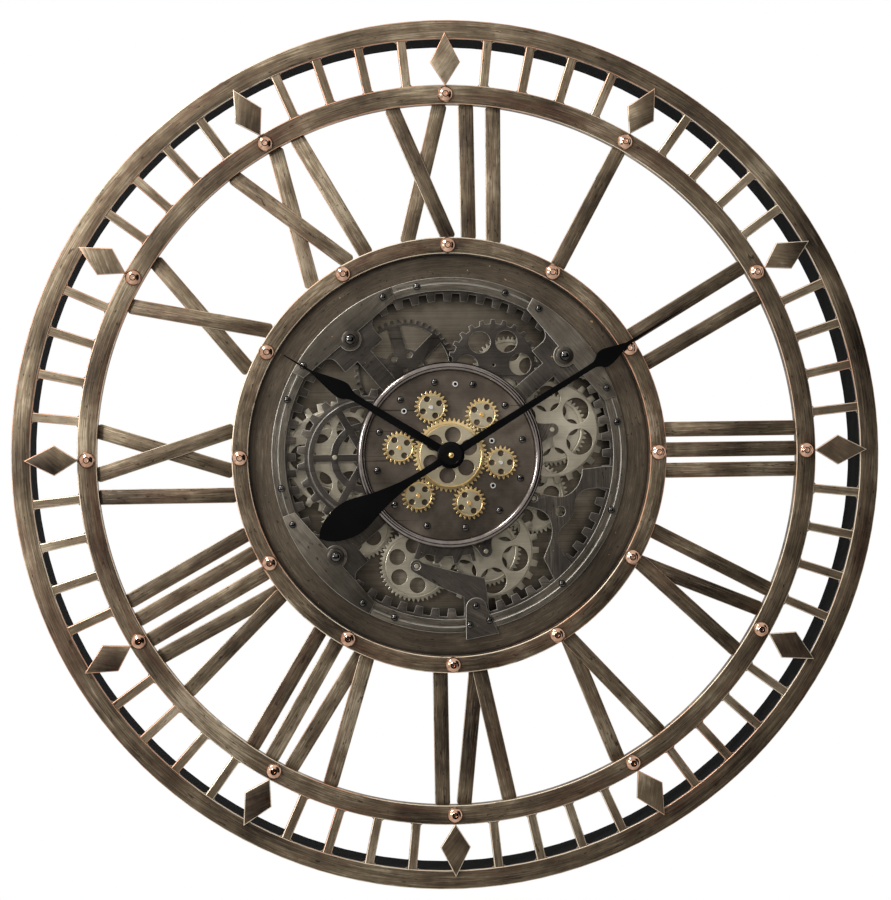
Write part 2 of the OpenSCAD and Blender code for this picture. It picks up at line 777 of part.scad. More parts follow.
module copper_domes() {
    color(copper)
        around([0:30:330]) {
            copper_dome([0, mid_seat_r], rim_front);
            copper_dome([0, inner_seat_r], inner_front);
        }
}

// One stroke, running past both rings by its chamfers before it is cut to them
module stroke(outer_off, inner_off) {
    from = [inner_off, sqrt(inner_r ^ 2 - inner_off ^ 2)];
    to = [outer_off, sqrt(mid_in_r ^ 2 - outer_off ^ 2)];
    along = (to - from) / norm(to - from);
    across = [along.y, -along.x];
    half = stroke_w / 2;
    run_past = stroke_cut;
    a = from - along * run_past;
    b = to + along * run_past;
    intersection() {
        polygon([a + across * (half - stroke_cut), a + along * stroke_cut + across * half,
                 b - along * stroke_cut + across * half, b + across * (half - stroke_cut),
                 b - across * (half - stroke_cut), b - along * stroke_cut - across * half,
                 a + along * stroke_cut - across * half, a - across * (half - stroke_cut)]);
        difference() {
            circle(mid_in_r, $fn = 240);
            circle(inner_r, $fn = 240);
        }
    }
}

module roman_numerals() {
    color(bronze)
        for (n = [1:12])
            for (s = numerals[n - 1])
                rotate([0, 30 * n, 0])
                    plate(stroke_front - stroke_t * (s[0] == 1 ? 1 : 2), stroke_t)
                        stroke(s[1], s[2]);
}

module dish_plate() {
    color(gunmetal)
        hoop(inner_in_r, dish_in_r, sub_front, dish_t);
}

module case_drum() {
    color(dark_steel)
        difference() {
            union() {
                hoop(drum_r, drum_in_r, cover_t, sub_front - cover_t);
                around(cover_screw_turns)
                    rod([0, boss_at], cover_t, base_back, boss_r);
            }
            around(cover_screw_turns)
                rod([0, boss_at], 0, screw_sink + screw_len, screw_r);
        }
}

// Cells: the movement holds one and the battery box holds two
cell_bay = 2 * (cell_r + cell_gap);
move_bottom = move_top - move_w;
cell_z = move_bottom + cell_wall + cell_bay / 2;
box_top = move_bottom - box_gap;
box_z = [box_top - cell_wall - cell_bay / 2, box_top - 2 * cell_wall - 1.5 * cell_bay];
box_bottom = box_top - 3 * cell_wall - 2 * cell_bay;
box_w = cell_len + cap_len + 2 * cell_gap + 2 * cell_wall;
cell_zs = [cell_z, box_z[0], box_z[1]];
cell_level = cover_t + cell_gap + cell_r;
door_w = box_w + 2 * door_lap;
door_top = cell_z + cell_bay / 2 + door_lap;
door_bottom = box_bottom + cell_wall - door_lap;
switch_z = box_bottom - switch_h / 2;
knob_hole_r = knob_r + door_gap;

module rear_cover() {
    color(dark_steel)
        difference() {
            plate(0, cover_t)
                difference() {
                    circle(drum_r, $fn = 240);
                    translate([0, key_z])
                        circle(key_r);
                    translate([-key_slot_r, key_z])
                        square([2 * key_slot_r, key_run]);
                    translate([0, key_z + key_run])
                        circle(key_slot_r);
                    translate([0, knob_z])
                        circle(knob_hole_r);
                    translate([-door_w / 2 - door_gap, door_bottom - door_gap])
                        square([door_w + 2 * door_gap, door_top - door_bottom + 2 * door_gap]);
                    slider_slot();
                    for (t = cover_screw_turns)
                        translate(polar(boss_at, t))
                            circle(screw_r);
                }
            around(cover_screw_turns)
                rod([0, boss_at], -1, screw_sink, screw_head_r);
        }
}

// The slot that the switch's slider moves in
module slider_slot() {
    slot_long = slider_w + slider_run;
    translate([-slot_long / 2 - door_gap, switch_z - slider_w / 2 - door_gap])
        square([slot_long + 2 * door_gap, slider_w + 2 * door_gap]);
}

module cover_screw_set() {
    color(chrome_grey)
        around(cover_screw_turns)
            difference() {
                union() {
                    rod([0, boss_at], back_set, screw_sink, screw_head_r);
                    rod([0, boss_at], screw_sink, screw_sink + screw_len, screw_r);
                }
                plate(back_set - 1, slot_depth + 1)
                    translate([-slot_w / 2, boss_at - screw_head_r])
                        square([slot_w, 2 * screw_head_r]);
            }
}

module base_plate() {
    color(gunmetal)
        plate(base_back, base_t)
            difference() {
                circle(drum_in_r, $fn = 240);
                circle(bush_r);
                translate([0, motor_at])
                    circle(motor_shaft_r + shaft_room);
                for (w = wheels)
                    translate(w)
                        circle(arbor_bush_r);
            }
}

module brass_bushes() {
    color(brass)
        difference() {
            union() {
                for (w = wheels)
                    rod(w, base_back, bush_front, arbor_bush_r);
                rod([0, 0], sub_back, disc_front, tube_bush_r);
                rod([0, 0], disc_front, sun_back - end_play, tube_bush_r + tube_flange);
            }
            for (w = wheels)
                rod(w, 0, sub_back, arbor_r + run);
            rod([0, 0], sub_back - 1, sun_back, tube_r + run);
        }
}

module ring_gear() {
    pitch = 360 / ring_teeth;
    color(dark_steel)
        plate(sub_front - ring_t, ring_t)
            difference() {
                circle(drum_in_r, $fn = 240);
                polygon(block_outline(ring_teeth, ring_root_r, ring_tip_r, ring_share, pitch / 2));
            }
}

module plate_outline(outer) {
    reach = 2 * drum_r;
    intersection() {
        circle(outer, $fn = 240);
        polygon([[plate_chord * tan(plate_half), plate_chord], [-plate_chord * tan(plate_half), plate_chord],
                 [-reach * sin(plate_half), reach * cos(plate_half)],
                 [reach * sin(plate_half), reach * cos(plate_half)]]);
    }
    translate([0, lobe_at])
        circle(lobe_r);
}

module foot_outline() {
    translate([0, -drum_r]) {
        polygon(foot_shape);
        translate(foot_top)
            circle(foot_top_r);
    }
}

module trim_strip() {
    color(gunmetal)
        difference() {
            hoop(drum_r, trim_in_r, dish_front, trim_t);
            around(plate_turns)
                plate(dish_front - 1, trim_t + 2)
                    plate_outline(drum_r + 1);
            plate(dish_front - 1, trim_t + 2)
                foot_outline();
            ring_groove([0, 0], trim_groove_r, trim_front);
        }
}

module cover_plates() {
    color(gunmetal)
        around(plate_turns)
            difference() {
                plate(dish_front, plate_t)
                    plate_outline(drum_r);
                rod([0, lobe_at], dish_front - 1, plate_front + 1, big_shank_r);
            }
}

module arm_outline() {
    flare = head_half + head_hollow;
    foot = plate_chord - head_hollow;
    translate([-neck_half, arm_from])
        square([2 * neck_half, head_at - arm_from + lap]);
    translate([-head_half, head_at])
        square([2 * head_half, plate_chord - head_at]);
    difference() {
        intersection() {
            translate([-flare, foot])
                square([2 * flare, dish_in_r - foot]);
            circle(dish_in_r, $fn = 240);
        }
        for (side = [-1, 1])
            translate([side * flare, foot])
                circle(head_hollow);
    }
}

module bracket_arms() {
    color(dark_steel)
        around(plate_turns)
            difference() {
                plate(sub_front, dish_t)
                    arm_outline();
                rod([0, lobe_at], sub_front - 1, dish_front + 1, big_shank_r);
            }
}

module forked_bracket() {
    color(dark_steel)
        difference() {
            plate(sub_front, dish_t)
                difference() {
                    intersection() {
                        polygon(closed_curve(fork_shape));
                        circle(dish_in_r, $fn = 240);
                    }
                    translate(fork_hole)
                        circle(fork_hole_r);
                    translate(wheel_1)
                        circle(arbor_r + run);
                }
            rod(wheel_1, dish_front - sink, dish_front + 1, arbor_r + sink_w);
        }
}

module foot_bracket() {
    color(dark_steel)
        plate(dish_front, plate_t)
            foot_outline();
}

module lever_cock() {
    color(dark_steel)
        difference() {
            union() {
                plate(sub_front, dish_t)
                    intersection() {
                        polygon(lever_shape);
                        circle(dish_in_r, $fn = 240);
                    }
                rod(wheel_5, sub_front, dish_front, lever_boss_r);
            }
            rod(wheel_5, sub_front - 1, dish_front + 1, arbor_r + run);
            rod(wheel_5, dish_front - sink, dish_front + 1, arbor_r + sink_w);
        }
}

// Tongue that reaches from the sub plate over a wheel's arbor; half widths at distances from the centre
lug_r = 6;
lug_shape = [[20, sub_r - 3], [15, sub_r + 4], [9, sub_r + 9]];
module lug(at) {
    far = norm(at);
    right = open_curve(concat(lug_shape, [[lug_r, far]]));
    rotate(-atan2(at.x, at.y)) {
        translate([0, far])
            circle(lug_r);
        polygon(concat(right, [for (p = reversed(right)) [-p.x, p.y]]));
    }
}

// Part of a gear that stands out from the sub plate at its foot; each tooth is [radius, turn]
sector_from = 166.5;
sector_to = 200;
sector_root_r = 94;
sector_tip_r = 101;
sector_pitch = 10;
sector_tooth = [[sector_tip_r, 0.2], [sector_tip_r, 2.2], [sector_root_r, 2.8], [sector_root_r, 6.8]];
module toothed_sector() {
    polygon(concat([polar(sub_r - 3, sector_from), polar(sector_root_r, sector_from)],
        [for (k = [0:2])
            for (p = sector_tooth)
                polar(p[0], sector_from + sector_pitch * k + p[1])],
        [polar(sector_tip_r, sector_to - 2.6), polar(sector_tip_r, sector_to),
         polar(sub_r - 3, sector_to)]));
}

module sub_plate() {
    color(dark_steel)
        difference() {
            union() {
                rod([0, 0], sub_back, sub_front, sub_r);
                plate(sub_back, sub_t)
                    lug(wheel_2);
                plate(sub_back, sub_t)
                    lug(wheel_4);
                plate(sub_back, sub_t)
                    toothed_sector();
            }
            rod([0, 0], sub_back - 1, sub_front + 1, tube_bush_r);
            for (p = concat(planets, [wheel_2, wheel_4]))
                rod(p, sub_back - 1, sub_front + 1, arbor_r + run);
            for (t = pillar_turns)
                rod(polar(pillar_at, t), sub_back - 1, sub_front + 1, spigot_r);
        }
}

module pillar_set() {
    color(chrome_grey)
        around(pillar_turns) {
            rod([0, pillar_at], base_front, sub_back, pillar_r);
            rod([0, pillar_at], sub_back, sub_front, spigot_r);
        }
}

module centre_disc() {
    color(gunmetal)
        plate(dish_front, disc_t)
            difference() {
                circle(disc_r, $fn = 240);
                circle(tube_bush_r);
                for (p = planets)
                    translate(p)
                        circle(arbor_r + run);
            }
}

module disc_wire() {
    at = disc_r - wire_r;
    color(chrome_grey)
        intersection() {
            translate([0, -disc_front, 0])
                rotate([90, 0, 0])
                    rotate_extrude($fn = 240)
                        translate([at, 0])
                            circle(wire_r);
            plate(disc_front, wire_r + 1)
                circle(disc_r + 1);
        }
}

module small_rivets() {
    color(chrome_grey) {
        around([for (k = [0:disc_rivets - 1]) disc_rivet_turn + 360 * k / disc_rivets])
            dome([0, disc_rivet_at], disc_front, rivet_r, rivet_h);
        for (k = [0:11])
            if (k != 2 && k != 6 && k != 8 && k != 11)
                rotate([0, rivet_turn + 30 * k, 0])
                    dome([0, rivet_at], trim_front, rivet_r, rivet_h);
        for (side = [-1, 1])
            around(plate_turns)
                dome(polar(rivet_at, side * plate_rivet_turn), plate_front, rivet_r, rivet_h);
        for (p = foot_rivets)
            dome([p.x, p.y - drum_r], plate_front, rivet_r, rivet_h);
    }
}

module large_rivets() {
    color(chrome_grey)
        around(plate_turns) {
            rod([0, lobe_at], sub_front, plate_front, big_shank_r);
            rod([0, lobe_at], plate_front, plate_front + washer_t, washer_r);
            dome([0, lobe_at], plate_front + washer_t, big_rivet_r, big_rivet_h);
        }
}

module disc_eyelets() {
    color(chrome_grey)
        for (p = eyelets)
            difference() {
                rod(p, disc_front, disc_front + eyelet_h, eyelet_r);
                rod(p, disc_front + 0.2, disc_front + eyelet_h + 1, eyelet_r / 3);
            }
}

module spokes(count, turn, w, reach) {
    for (k = [0:count - 1])
        rotate(-turn - 360 * k / count)
            translate([-w / 2, 0])
                square([w, reach]);
}

module spoked_wheel() {
    at = [spoked_x, spoked_z];
    back = sub_back - fixed_t;
    color(dark_steel)
        difference() {
            union() {
                plate(back, fixed_t)
                    translate(at)
                        difference() {
                            polygon(block_outline(24, spoked_tip_r, spoked_root_r, block_share, 7.5));
                            circle(spoked_rim_r);
                        }
                plate(back, fixed_t)
                    translate(at)
                        spokes(6, 30, spoked_w, spoked_rim_r + lap);
                difference() {
                    rod(at, back, sub_back, spoked_tie_r + spoked_w / 2);
                    rod(at, back - 1, sub_back + 1, spoked_tie_r - spoked_w / 2);
                    plate(back - 1, fixed_t + 2)
                        translate(at)
                            spokes(6, 30, spoked_w, spoked_rim_r);
                }
            }
            plate(back - 1, fixed_t + 2)
                translate(at)
                    holes(6, 38, spoked_pin_at, spoked_pin_r);
            rod(wheel_7, back - 1, sub_back + 1, arbor_r + run);
            ring_groove(at, spoked_groove_r, sub_back);
        }
}

module upper_left_wheel() {
    at = [left_x, left_z];
    color(dark_steel)
        difference() {
            union() {
                plate(base_front, fixed_t)
                    translate(at)
                        difference() {
                            polygon(block_outline(48, left_tip_r, left_tip_r - left_tooth,
                                                  fine_block_share, 0));
                            circle(left_rim_r);
                        }
                plate(base_front, fixed_t)
                    translate(at)
                        spokes(6, -15, left_spoke_w, left_rim_r + lap);
                rod(at, base_front, base_front + fixed_t, left_mid_r);
            }
            plate(base_front - 1, fixed_t + 2)
                translate(at)
                    holes(6, 15, left_hole_at, left_hole_r);
            rod(at, base_front - 1, base_front + fixed_t + 1, left_bore_r);
        }
}

module upper_right_wheel() {
    color(dark_steel)
        plate(sub_back - fixed_t, fixed_t)
            translate([right_x, right_z])
                difference() {
                    polygon(block_outline(24, right_tip_r, right_tip_r - right_tooth, block_share, 0));
                    holes(6, -31, right_hole_at, right_hole_r);
                    circle(right_bore_r);
                }
}

module movement_case() {
    back = cover_t;
    color(black)
        difference() {
            plate(back, bay)
                translate([-move_w / 2, move_bottom])
                    square([move_w, move_w]);
            plate(back - 1, cell_bay + 1)
                translate([-box_w / 2 + cell_wall, cell_z - cell_bay / 2])
                    square([box_w - 2 * cell_wall, cell_bay]);
            rod([0, 0], base_back - arbor_depth - lap, base_back + 1, pipe_r + run);
            rod([0, knob_z], back - 1, back + knob_shaft_run + end_play, knob_shaft_r + run);
        }
}

module threaded_bush() {
    color(brass) {
        difference() {
            rod([0, 0], base_back, base_front + bush_run, bush_r);
            rod([0, 0], base_back - 1, base_front + bush_run + 1, pipe_r + run);
        }
        difference() {
            plate(base_front, bush_nut_t)
                circle(bush_nut_w / 2, $fn = 6);
            rod([0, 0], base_front - 1, base_front + bush_nut_t + 1, bush_r);
        }
    }
}

module battery_box() {
    color(black)
        difference() {
            union() {
                plate(cover_t, bay)
                    translate([-box_w / 2, box_bottom])
                        square([box_w, box_top - box_bottom]);
                plate(cover_t, bay)
                    translate([-slider_w - slider_run, box_bottom - switch_h])
                        square([2 * (slider_w + slider_run), switch_h]);
            }
            for (z = box_z)
                plate(cover_t - 1, cell_bay + 1)
                    translate([-box_w / 2 + cell_wall, z - cell_bay / 2])
                        square([box_w - 2 * cell_wall, cell_bay]);
            plate(cover_t - 1, switch_depth + 1)
                slider_slot();
        }
}

module cells() {
    color(copper)
        for (i = [0:2])
            translate([0, -cell_level, cell_zs[i]])
                rotate([0, i == 1 ? -90 : 90, 0])
                    translate([0, 0, -(cell_len + cap_len) / 2]) {
                        cylinder(h = cell_len, r = cell_r);
                        translate([0, 0, cell_len])
                            cylinder(h = cap_len, r = cap_r);
                    }
}

module drive_motor() {
    color(chrome_grey)
        difference() {
            rod([0, motor_at], cover_t, base_back, motor_r);
            rod([0, motor_at], base_back - shaft_bore, base_back + 1, motor_shaft_r + run);
        }
}

module battery_door() {
    color(dark_steel)
        difference() {
            plate(back_set, cover_t - back_set)
                translate([-door_w / 2, door_bottom])
                    square([door_w, door_top - door_bottom]);
            plate(back_set - 1, grip_depth + 1)
                translate([-grip_w / 2, door_top - grip_drop])
                    square([grip_w, grip_h]);
        }
}

module switch_slider() {
    color(chrome_grey)
        translate([-(slider_w + slider_run) / 2, 0, 0])
            plate(slider_set, slider_t)
                translate([0, switch_z - slider_w / 2])
                    square([slider_w, slider_w]);
}

module set_knob() {
    color(black) {
        rod([0, knob_z], knob_set, cover_t - knob_play, knob_r);
        rod([0, knob_z], cover_t - knob_play, cover_t + knob_shaft_run, knob_shaft_r);
    }
}

function hand_side(shape, side) = [for (p = open_curve(shape)) [side * p[1], p[0]]];
function reversed(p) = [for (i = [len(p) - 1:-1:0]) p[i]];

module hour_hand() {
    color(black)
        difference() {
            union() {
                rotate([0, hour_turn, 0])
                    plate(hour_back, hand_t) {
                        circle(hand_hub_r);
                        polygon(concat(hand_side(hour_shape, 1), reversed(hand_side(hour_shape, -1))));
                    }
                rod([0, 0], base_back - arbor_depth, hour_back + hand_t, pipe_r);
            }
            rod([0, 0], base_back - arbor_depth - 1, hour_back + hand_t + 1, minute_arbor_r + run);
        }
}

module minute_hand() {
    color(black) {
        rotate([0, minute_turn, 0])
            plate(minute_back, hand_t) {
                circle(hand_hub_r);
                polygon(concat(hand_side(minute_shape, 1), reversed(hand_side(minute_shape, -1))));
                rotate(180)
                    polygon(concat(hand_side(tail_shape, 1), reversed(hand_side(tail_shape, -1))));
            }
        rod([0, 0], base_back - arbor_depth, minute_front, minute_arbor_r);
    }
}

module hand_nut() {
    color(brass)
        dome([0, 0], minute_front, nut_r, nut_h);
}

module fine_gear(teeth, turn, at) {
    translate(at)
        polygon(fine_outline(teeth, turn));
}

module sun_gear() {
    color(brass)
        difference() {
            plate(sun_back, fine_t)
                difference() {
                    fine_gear(wheel_teeth, sun_tooth, [0, 0]);
                    holes(6, 8.5, fine_hole_at, fine_hole_r);
                    circle(tube_r);
                }
            ring_groove([0, 0], wheel_r - fine_groove_in, sun_front);
        }
}

module sun_tube() {
    color(brass)
        difference() {
            union() {
                rod([0, 0], drive_back - end_play, sun_front, tube_r);
                plate(drive_back, fine_t)
                    fine_gear(wheel_teeth, sun_tooth, [0, 0]);
            }
            rod([0, 0], drive_back - 1, sun_front + 1, tube_in_r);
        }
}

module planet_gear(i) {
    at = planets[i];
    color(brass) {
        difference() {
            plate(sun_back, fine_t)
                translate(at)
                    difference() {
                        polygon(fine_outline(planet_teeth, planet_tooth[i]));
                        holes(4, planet_hole_turns[i], planet_hole_at, planet_hole_r);
                    }
            ring_groove(at, planet_r - planet_groove_in, sun_front);
        }
        rod(at, sub_back, sun_front + planet_pin, arbor_r);
        rod(at, disc_front + end_play, sun_back, arbor_r + collar_w);
        rod(at, sub_front + end_play, dish_front - end_play, arbor_r + collar_w);
    }
}

// The third planet's arbor carries the pinion that drives the train behind the disc
module link_pinion() {
    color(brass) {
        plate(fine_back, fine_t)
            fine_gear(link_teeth, link_tooth, planets[2]);
        rod(planets[2], fine_back, sub_back, arbor_r);
    }
}

module motor_pinion() {
    color(brass) {
        plate(drive_back - pinion_more / 2, fine_t + pinion_more)
            fine_gear(motor_teeth, motor_tooth, [0, motor_at]);
        rod([0, motor_at], base_back - shaft_bore + end_play, drive_back, motor_shaft_r);
    }
}

// A fine wheel on its arbor; front is the level of the arbor's front end
module train_wheel(i, tooth, hole_turn, front) {
    at = wheels[i];
    color(champagne) {
        difference() {
            plate(fine_back, fine_t)
                translate(at)
                    difference() {
                        polygon(fine_outline(wheel_teeth, tooth));
                        holes(6, hole_turn, fine_hole_at, fine_hole_r);
                    }
            ring_groove(at, wheel_r - fine_groove_in, fine_front);
        }
        rod(at, base_back, front, arbor_r);
        rod(at, bush_front + end_play, fine_back + lap, hub_r);
    }
}

// A coarse wheel on the same arbor, in front of the fine one
module coarse_wheel(i, hole_turn, tip_r) {
    at = wheels[i];
    color(champagne) {
        difference() {
            plate(coarse_back, coarse_t)
                translate(at)
                    difference() {
                        polygon(block_outline(coarse_teeth, tip_r, coarse_root_r, coarse_share, hole_turn));
                        holes(6, hole_turn, coarse_hole_at, coarse_hole_r);
                    }
            plate(coarse_back + coarse_t - coarse_step, coarse_step + 1)
                translate(at)
                    difference() {
                        circle(tip_r + 1);
                        circle(coarse_root_r - coarse_land);
                    }
        }
        rod(at, fine_front - lap, coarse_back + lap, hub_r);
    }
}

lug_end = sub_front + arbor_proud;
free_end = coarse_back;

rim_hoop();
rim_face();
wall_pads();
minute_bars();
hour_diamonds();
middle_ring();
inner_ring();
copper_domes();
roman_numerals();
dish_plate();
case_drum();
rear_cover();
cover_screw_set();  // cover_screws
base_plate();
brass_bushes();
ring_gear();
trim_strip();
cover_plates();
bracket_arms();
forked_bracket();
foot_bracket();
lever_cock();
sub_plate();
pillar_set();  // pillars
centre_disc();
disc_wire();
small_rivets();
large_rivets();
disc_eyelets();
spoked_wheel();
upper_left_wheel();
upper_right_wheel();
movement_case();
threaded_bush();
battery_box();
cells();
drive_motor();
battery_door();
switch_slider();
set_knob();
hour_hand();
minute_hand();
hand_nut();
sun_gear();
sun_tube();
planet_gear(0);  // planet_gear_1
planet_gear(1);  // planet_gear_2
union() {  // planet_gear_3
    planet_gear(2);
    link_pinion();
}
planet_gear(3);  // planet_gear_4
planet_gear(4);  // planet_gear_5
planet_gear(5);  // planet_gear_6
motor_pinion();
train_wheel(0, tooth_1, 20, dish_front);  // train_wheel_1
union() {  // train_wheel_2
    train_wheel(1, tooth_2, 24, lug_end);
    coarse_wheel(1, -6.3, coarse_tip_r);
}
train_wheel(2, tooth_3, 10, free_end);  // train_wheel_3
union() {  // train_wheel_4
    train_wheel(3, tooth_4, 15, lug_end);
    coarse_wheel(3, -14.7, coarse_tip_r);
}
train_wheel(4, tooth_5, -5, dish_front);  // train_wheel_5
train_wheel(5, tooth_6, 12, free_end);  // train_wheel_6
union() {  // train_wheel_7
    train_wheel(6, tooth_7, 20, sub_back + arbor_proud);
    coarse_wheel(6, 30, coarse_tip_r + 1.4);
}
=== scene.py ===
import json
import math
import random

import bmesh
import bpy
from mathutils import Matrix, Vector


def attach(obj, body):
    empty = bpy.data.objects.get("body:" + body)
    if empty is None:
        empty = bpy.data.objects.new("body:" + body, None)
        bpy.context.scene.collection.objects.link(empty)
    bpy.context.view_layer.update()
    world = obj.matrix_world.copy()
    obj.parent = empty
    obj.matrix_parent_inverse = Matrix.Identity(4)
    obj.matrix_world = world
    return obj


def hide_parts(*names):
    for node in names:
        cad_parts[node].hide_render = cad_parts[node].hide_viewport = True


MM = 0.001
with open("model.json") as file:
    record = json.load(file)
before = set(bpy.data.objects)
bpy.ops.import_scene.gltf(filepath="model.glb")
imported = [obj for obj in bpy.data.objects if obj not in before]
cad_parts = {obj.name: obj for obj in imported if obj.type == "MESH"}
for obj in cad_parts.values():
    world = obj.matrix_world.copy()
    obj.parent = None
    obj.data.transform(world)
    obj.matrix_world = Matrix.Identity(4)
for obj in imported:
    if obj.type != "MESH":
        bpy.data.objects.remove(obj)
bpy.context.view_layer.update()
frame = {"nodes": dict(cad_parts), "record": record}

# Measures of the part that the shapes below need, in millimetres. A level is the distance out of the wall

RIM_IN_R = 382.8
MID_R, MID_IN_R, MID_BACK, MID_FRONT = 340.6, 322.8, 40.0, 50.0
INNER_R, INNER_IN_R = 200.3, 185.3
BAR_W, BAR_T, BAR_FRONT = 8.3, 5.0, 49.0
STROKE_W, STROKE_T, STROKE_FRONT = 14.0, 3.0, 46.0
PLATE_FRONT, WASHER_T, BIG_RIVET_R, BIG_SHANK_R = 48.2, 1.0, 5.0, 2.5
MODULE, SUN_TEETH, PLANET_TEETH = 1.371, 48, 21
SUN_GROOVE_R, PLANET_GROOVE_R, PIN_R, PIN_FRONT = 28.3, 11.5, 2.05, 52.8

# Degrees, clockwise from twelve: the first planet, one planet to the next, one minute and one hour
FIRST_PLANET, PLANET_STEP, MINUTE, HOUR = -21, 60, 6, 30
# Degrees between a diamond's length and its brushing
DIAMOND_BRUSHING = 38


def rgb(r, g, b):
    """A screen colour from 0 to 255 as linear light, by the sRGB curve."""
    out = []
    for value in (r, g, b):
        c = value / 255
        out.append(c / 12.92 if c <= 0.04045 else ((c + 0.055) / 1.055) ** 2.4)
    return (*out, 1.0)


# Materials: a small builder for shader nodes

# Sockets of the Mix node's colour mode, and of the Map Range node
FACTOR, COLOUR_A, COLOUR_B, COLOUR_OUT = 0, 6, 7, 2
VALUE, FROM_MIN, FROM_MAX, TO_MIN, TO_MAX = range(5)
# Scales of a piece's coordinates: the dial's plane alone, and drawn out along x
IN_DIAL_PLANE, ALONG_X = (1, 0, 1), (0.05, 1, 1)
# Radius in metres of the circle that a turn round the hands' axis makes in the polar coordinates
TURN_RADIUS = 0.3


class Shader:
    """A Principled material. A method that takes a colour or a number also takes another node's socket."""

    def __init__(self, name):
        self.mat = bpy.data.materials.new(name)
        self.mat.use_nodes = True
        self.tree = self.mat.node_tree
        self.tree.nodes.clear()
        self.out = self.tree.nodes.new("ShaderNodeOutputMaterial")
        self.bsdf = self.tree.nodes.new("ShaderNodeBsdfPrincipled")
        self.join(self.bsdf.outputs[0], self.out.inputs[0])
        self.place = self.add("ShaderNodeTexCoord").outputs["Object"]

    def add(self, kind, **settings):
        node = self.tree.nodes.new(kind)
        for key, value in settings.items():
            setattr(node, key, value)
        return node

    def join(self, source, target):
        if isinstance(source, bpy.types.NodeSocket):
            self.tree.links.new(source, target)
        else:
            target.default_value = source

    def math(self, operation, a, b):
        node = self.add("ShaderNodeMath", operation=operation)
        self.join(a, node.inputs[0])
        self.join(b, node.inputs[1])
        return node.outputs[0]

    def times(self, a, b):
        return self.math("MULTIPLY", a, b)

    def plus(self, a, b):
        return self.math("ADD", a, b)

    def scaled(self, vector, scale):
        node = self.add("ShaderNodeVectorMath", operation="MULTIPLY")
        self.join(vector, node.inputs[0])
        node.inputs[1].default_value = scale
        return node.outputs[0]

    def noise(self, vector, scale, detail, rough=0.55):
        node = self.add("ShaderNodeTexNoise")
        self.join(vector, node.inputs["Vector"])
        node.inputs["Scale"].default_value = scale
        node.inputs["Detail"].default_value = detail
        node.inputs["Roughness"].default_value = rough
        return node.outputs[0]

    def ramp(self, value, stops):
        node = self.add("ShaderNodeValToRGB")
        self.join(value, node.inputs[0])
        elements = node.color_ramp.elements
        while len(elements) < len(stops):
            elements.new(0.5)
        for element, (at, colour) in zip(elements, stops):
            element.position = at
            element.color = colour
        return node.outputs[0]

    def step(self, value, low, high):
        """Rises smoothly from 0 at low to 1 at high."""
        node = self.add("ShaderNodeMapRange", interpolation_type="SMOOTHSTEP")
        self.join(value, node.inputs[VALUE])
        node.inputs[FROM_MIN].default_value = low
        node.inputs[FROM_MAX].default_value = high
        return node.outputs[0]

    def blots(self, vector, low, high, scale=1.0, detail=3.0, rough=0.55):
        """A mask of the places where the noise is above high, fading out down to low."""
        return self.step(self.noise(vector, scale, detail, rough), low, high)

    def mix(self, factor, a, b):
        node = self.add("ShaderNodeMix", data_type="RGBA")
        self.join(factor, node.inputs[FACTOR])
        self.join(a, node.inputs[COLOUR_A])
        self.join(b, node.inputs[COLOUR_B])
        return node.outputs[COLOUR_OUT]

    def cover(self, colour, mask, share, over):
        """Lays another colour over the first where the mask says, as densely as share says."""
        return self.mix(self.times(mask, share), colour, over)

    def attribute(self, name, output="Fac"):
        return self.add("ShaderNodeAttribute", attribute_name=name).outputs[output]

    def radius(self):
        """Distance from the hands' axis."""
        length = self.add("ShaderNodeVectorMath", operation="LENGTH")
        self.join(self.scaled(self.place, IN_DIAL_PLANE), length.inputs[0])
        return length.outputs["Value"]

    def polar(self):
        """Coordinates whose first two parts run round the hands' axis and whose third runs outward."""
        unit = self.add("ShaderNodeVectorMath", operation="NORMALIZE")
        self.join(self.scaled(self.place, IN_DIAL_PLANE), unit.inputs[0])
        parts = self.add("ShaderNodeSeparateXYZ")
        self.join(self.scaled(unit.outputs[0], [TURN_RADIUS] * 3), parts.inputs[0])
        both = self.add("ShaderNodeCombineXYZ")
        self.join(parts.outputs[0], both.inputs[0])
        self.join(parts.outputs[2], both.inputs[1])
        self.join(self.radius(), both.inputs[2])
        return both.outputs[0]

    def brushing(self, grain):
        """Coordinates along, in the depth of and across the brushing, which runs round the hands' axis
        (polar), along each solid (strip) or along x (plain)."""
        if grain == "polar":
            return self.polar()
        if grain == "strip":
            return self.attribute("grain", "Vector")
        return self.scaled(self.place, ALONG_X)

    def bump(self, height, strength, distance):
        node = self.add("ShaderNodeBump")
        node.inputs["Strength"].default_value = strength
        node.inputs["Distance"].default_value = distance
        self.join(height, node.inputs["Height"])
        self.join(node.outputs[0], self.bsdf.inputs["Normal"])

    def surface(self, colour, roughness, metallic):
        self.join(colour, self.bsdf.inputs["Base Color"])
        self.join(roughness, self.bsdf.inputs["Roughness"])
        self.bsdf.inputs["Metallic"].default_value = metallic


# Brushed metal: noise scales along, in the depth of and across the brushing
FINE, BROAD = (42, 42, 1150), (11, 11, 230)
DARK_LINES, LIGHT_LINES = (46, 46, 980), (26, 26, 680)
PIT_MARKS, RUST_WASH = (120, 120, 420), (9, 9, 60)
# Shares of the two streaks in the colour, the rest being patches, and what a solid's own shade adds
FINE_SHARE, BROAD_SHARE, OWN_SHADE = 0.46, 0.18, 0.5
# The noise value of the darkest tone, and the span from there to the lightest
TONE_LOW, TONE_SPAN = 0.36, 0.28
# How densely each mark covers the metal; the last is the painted shade
DARK_SHARE, LIGHT_SHARE, PIT_SHARE, WASH_SHARE, PAINTED_SHADE_SHARE = 0.55, 0.50, 0.75, 0.30, 0.85
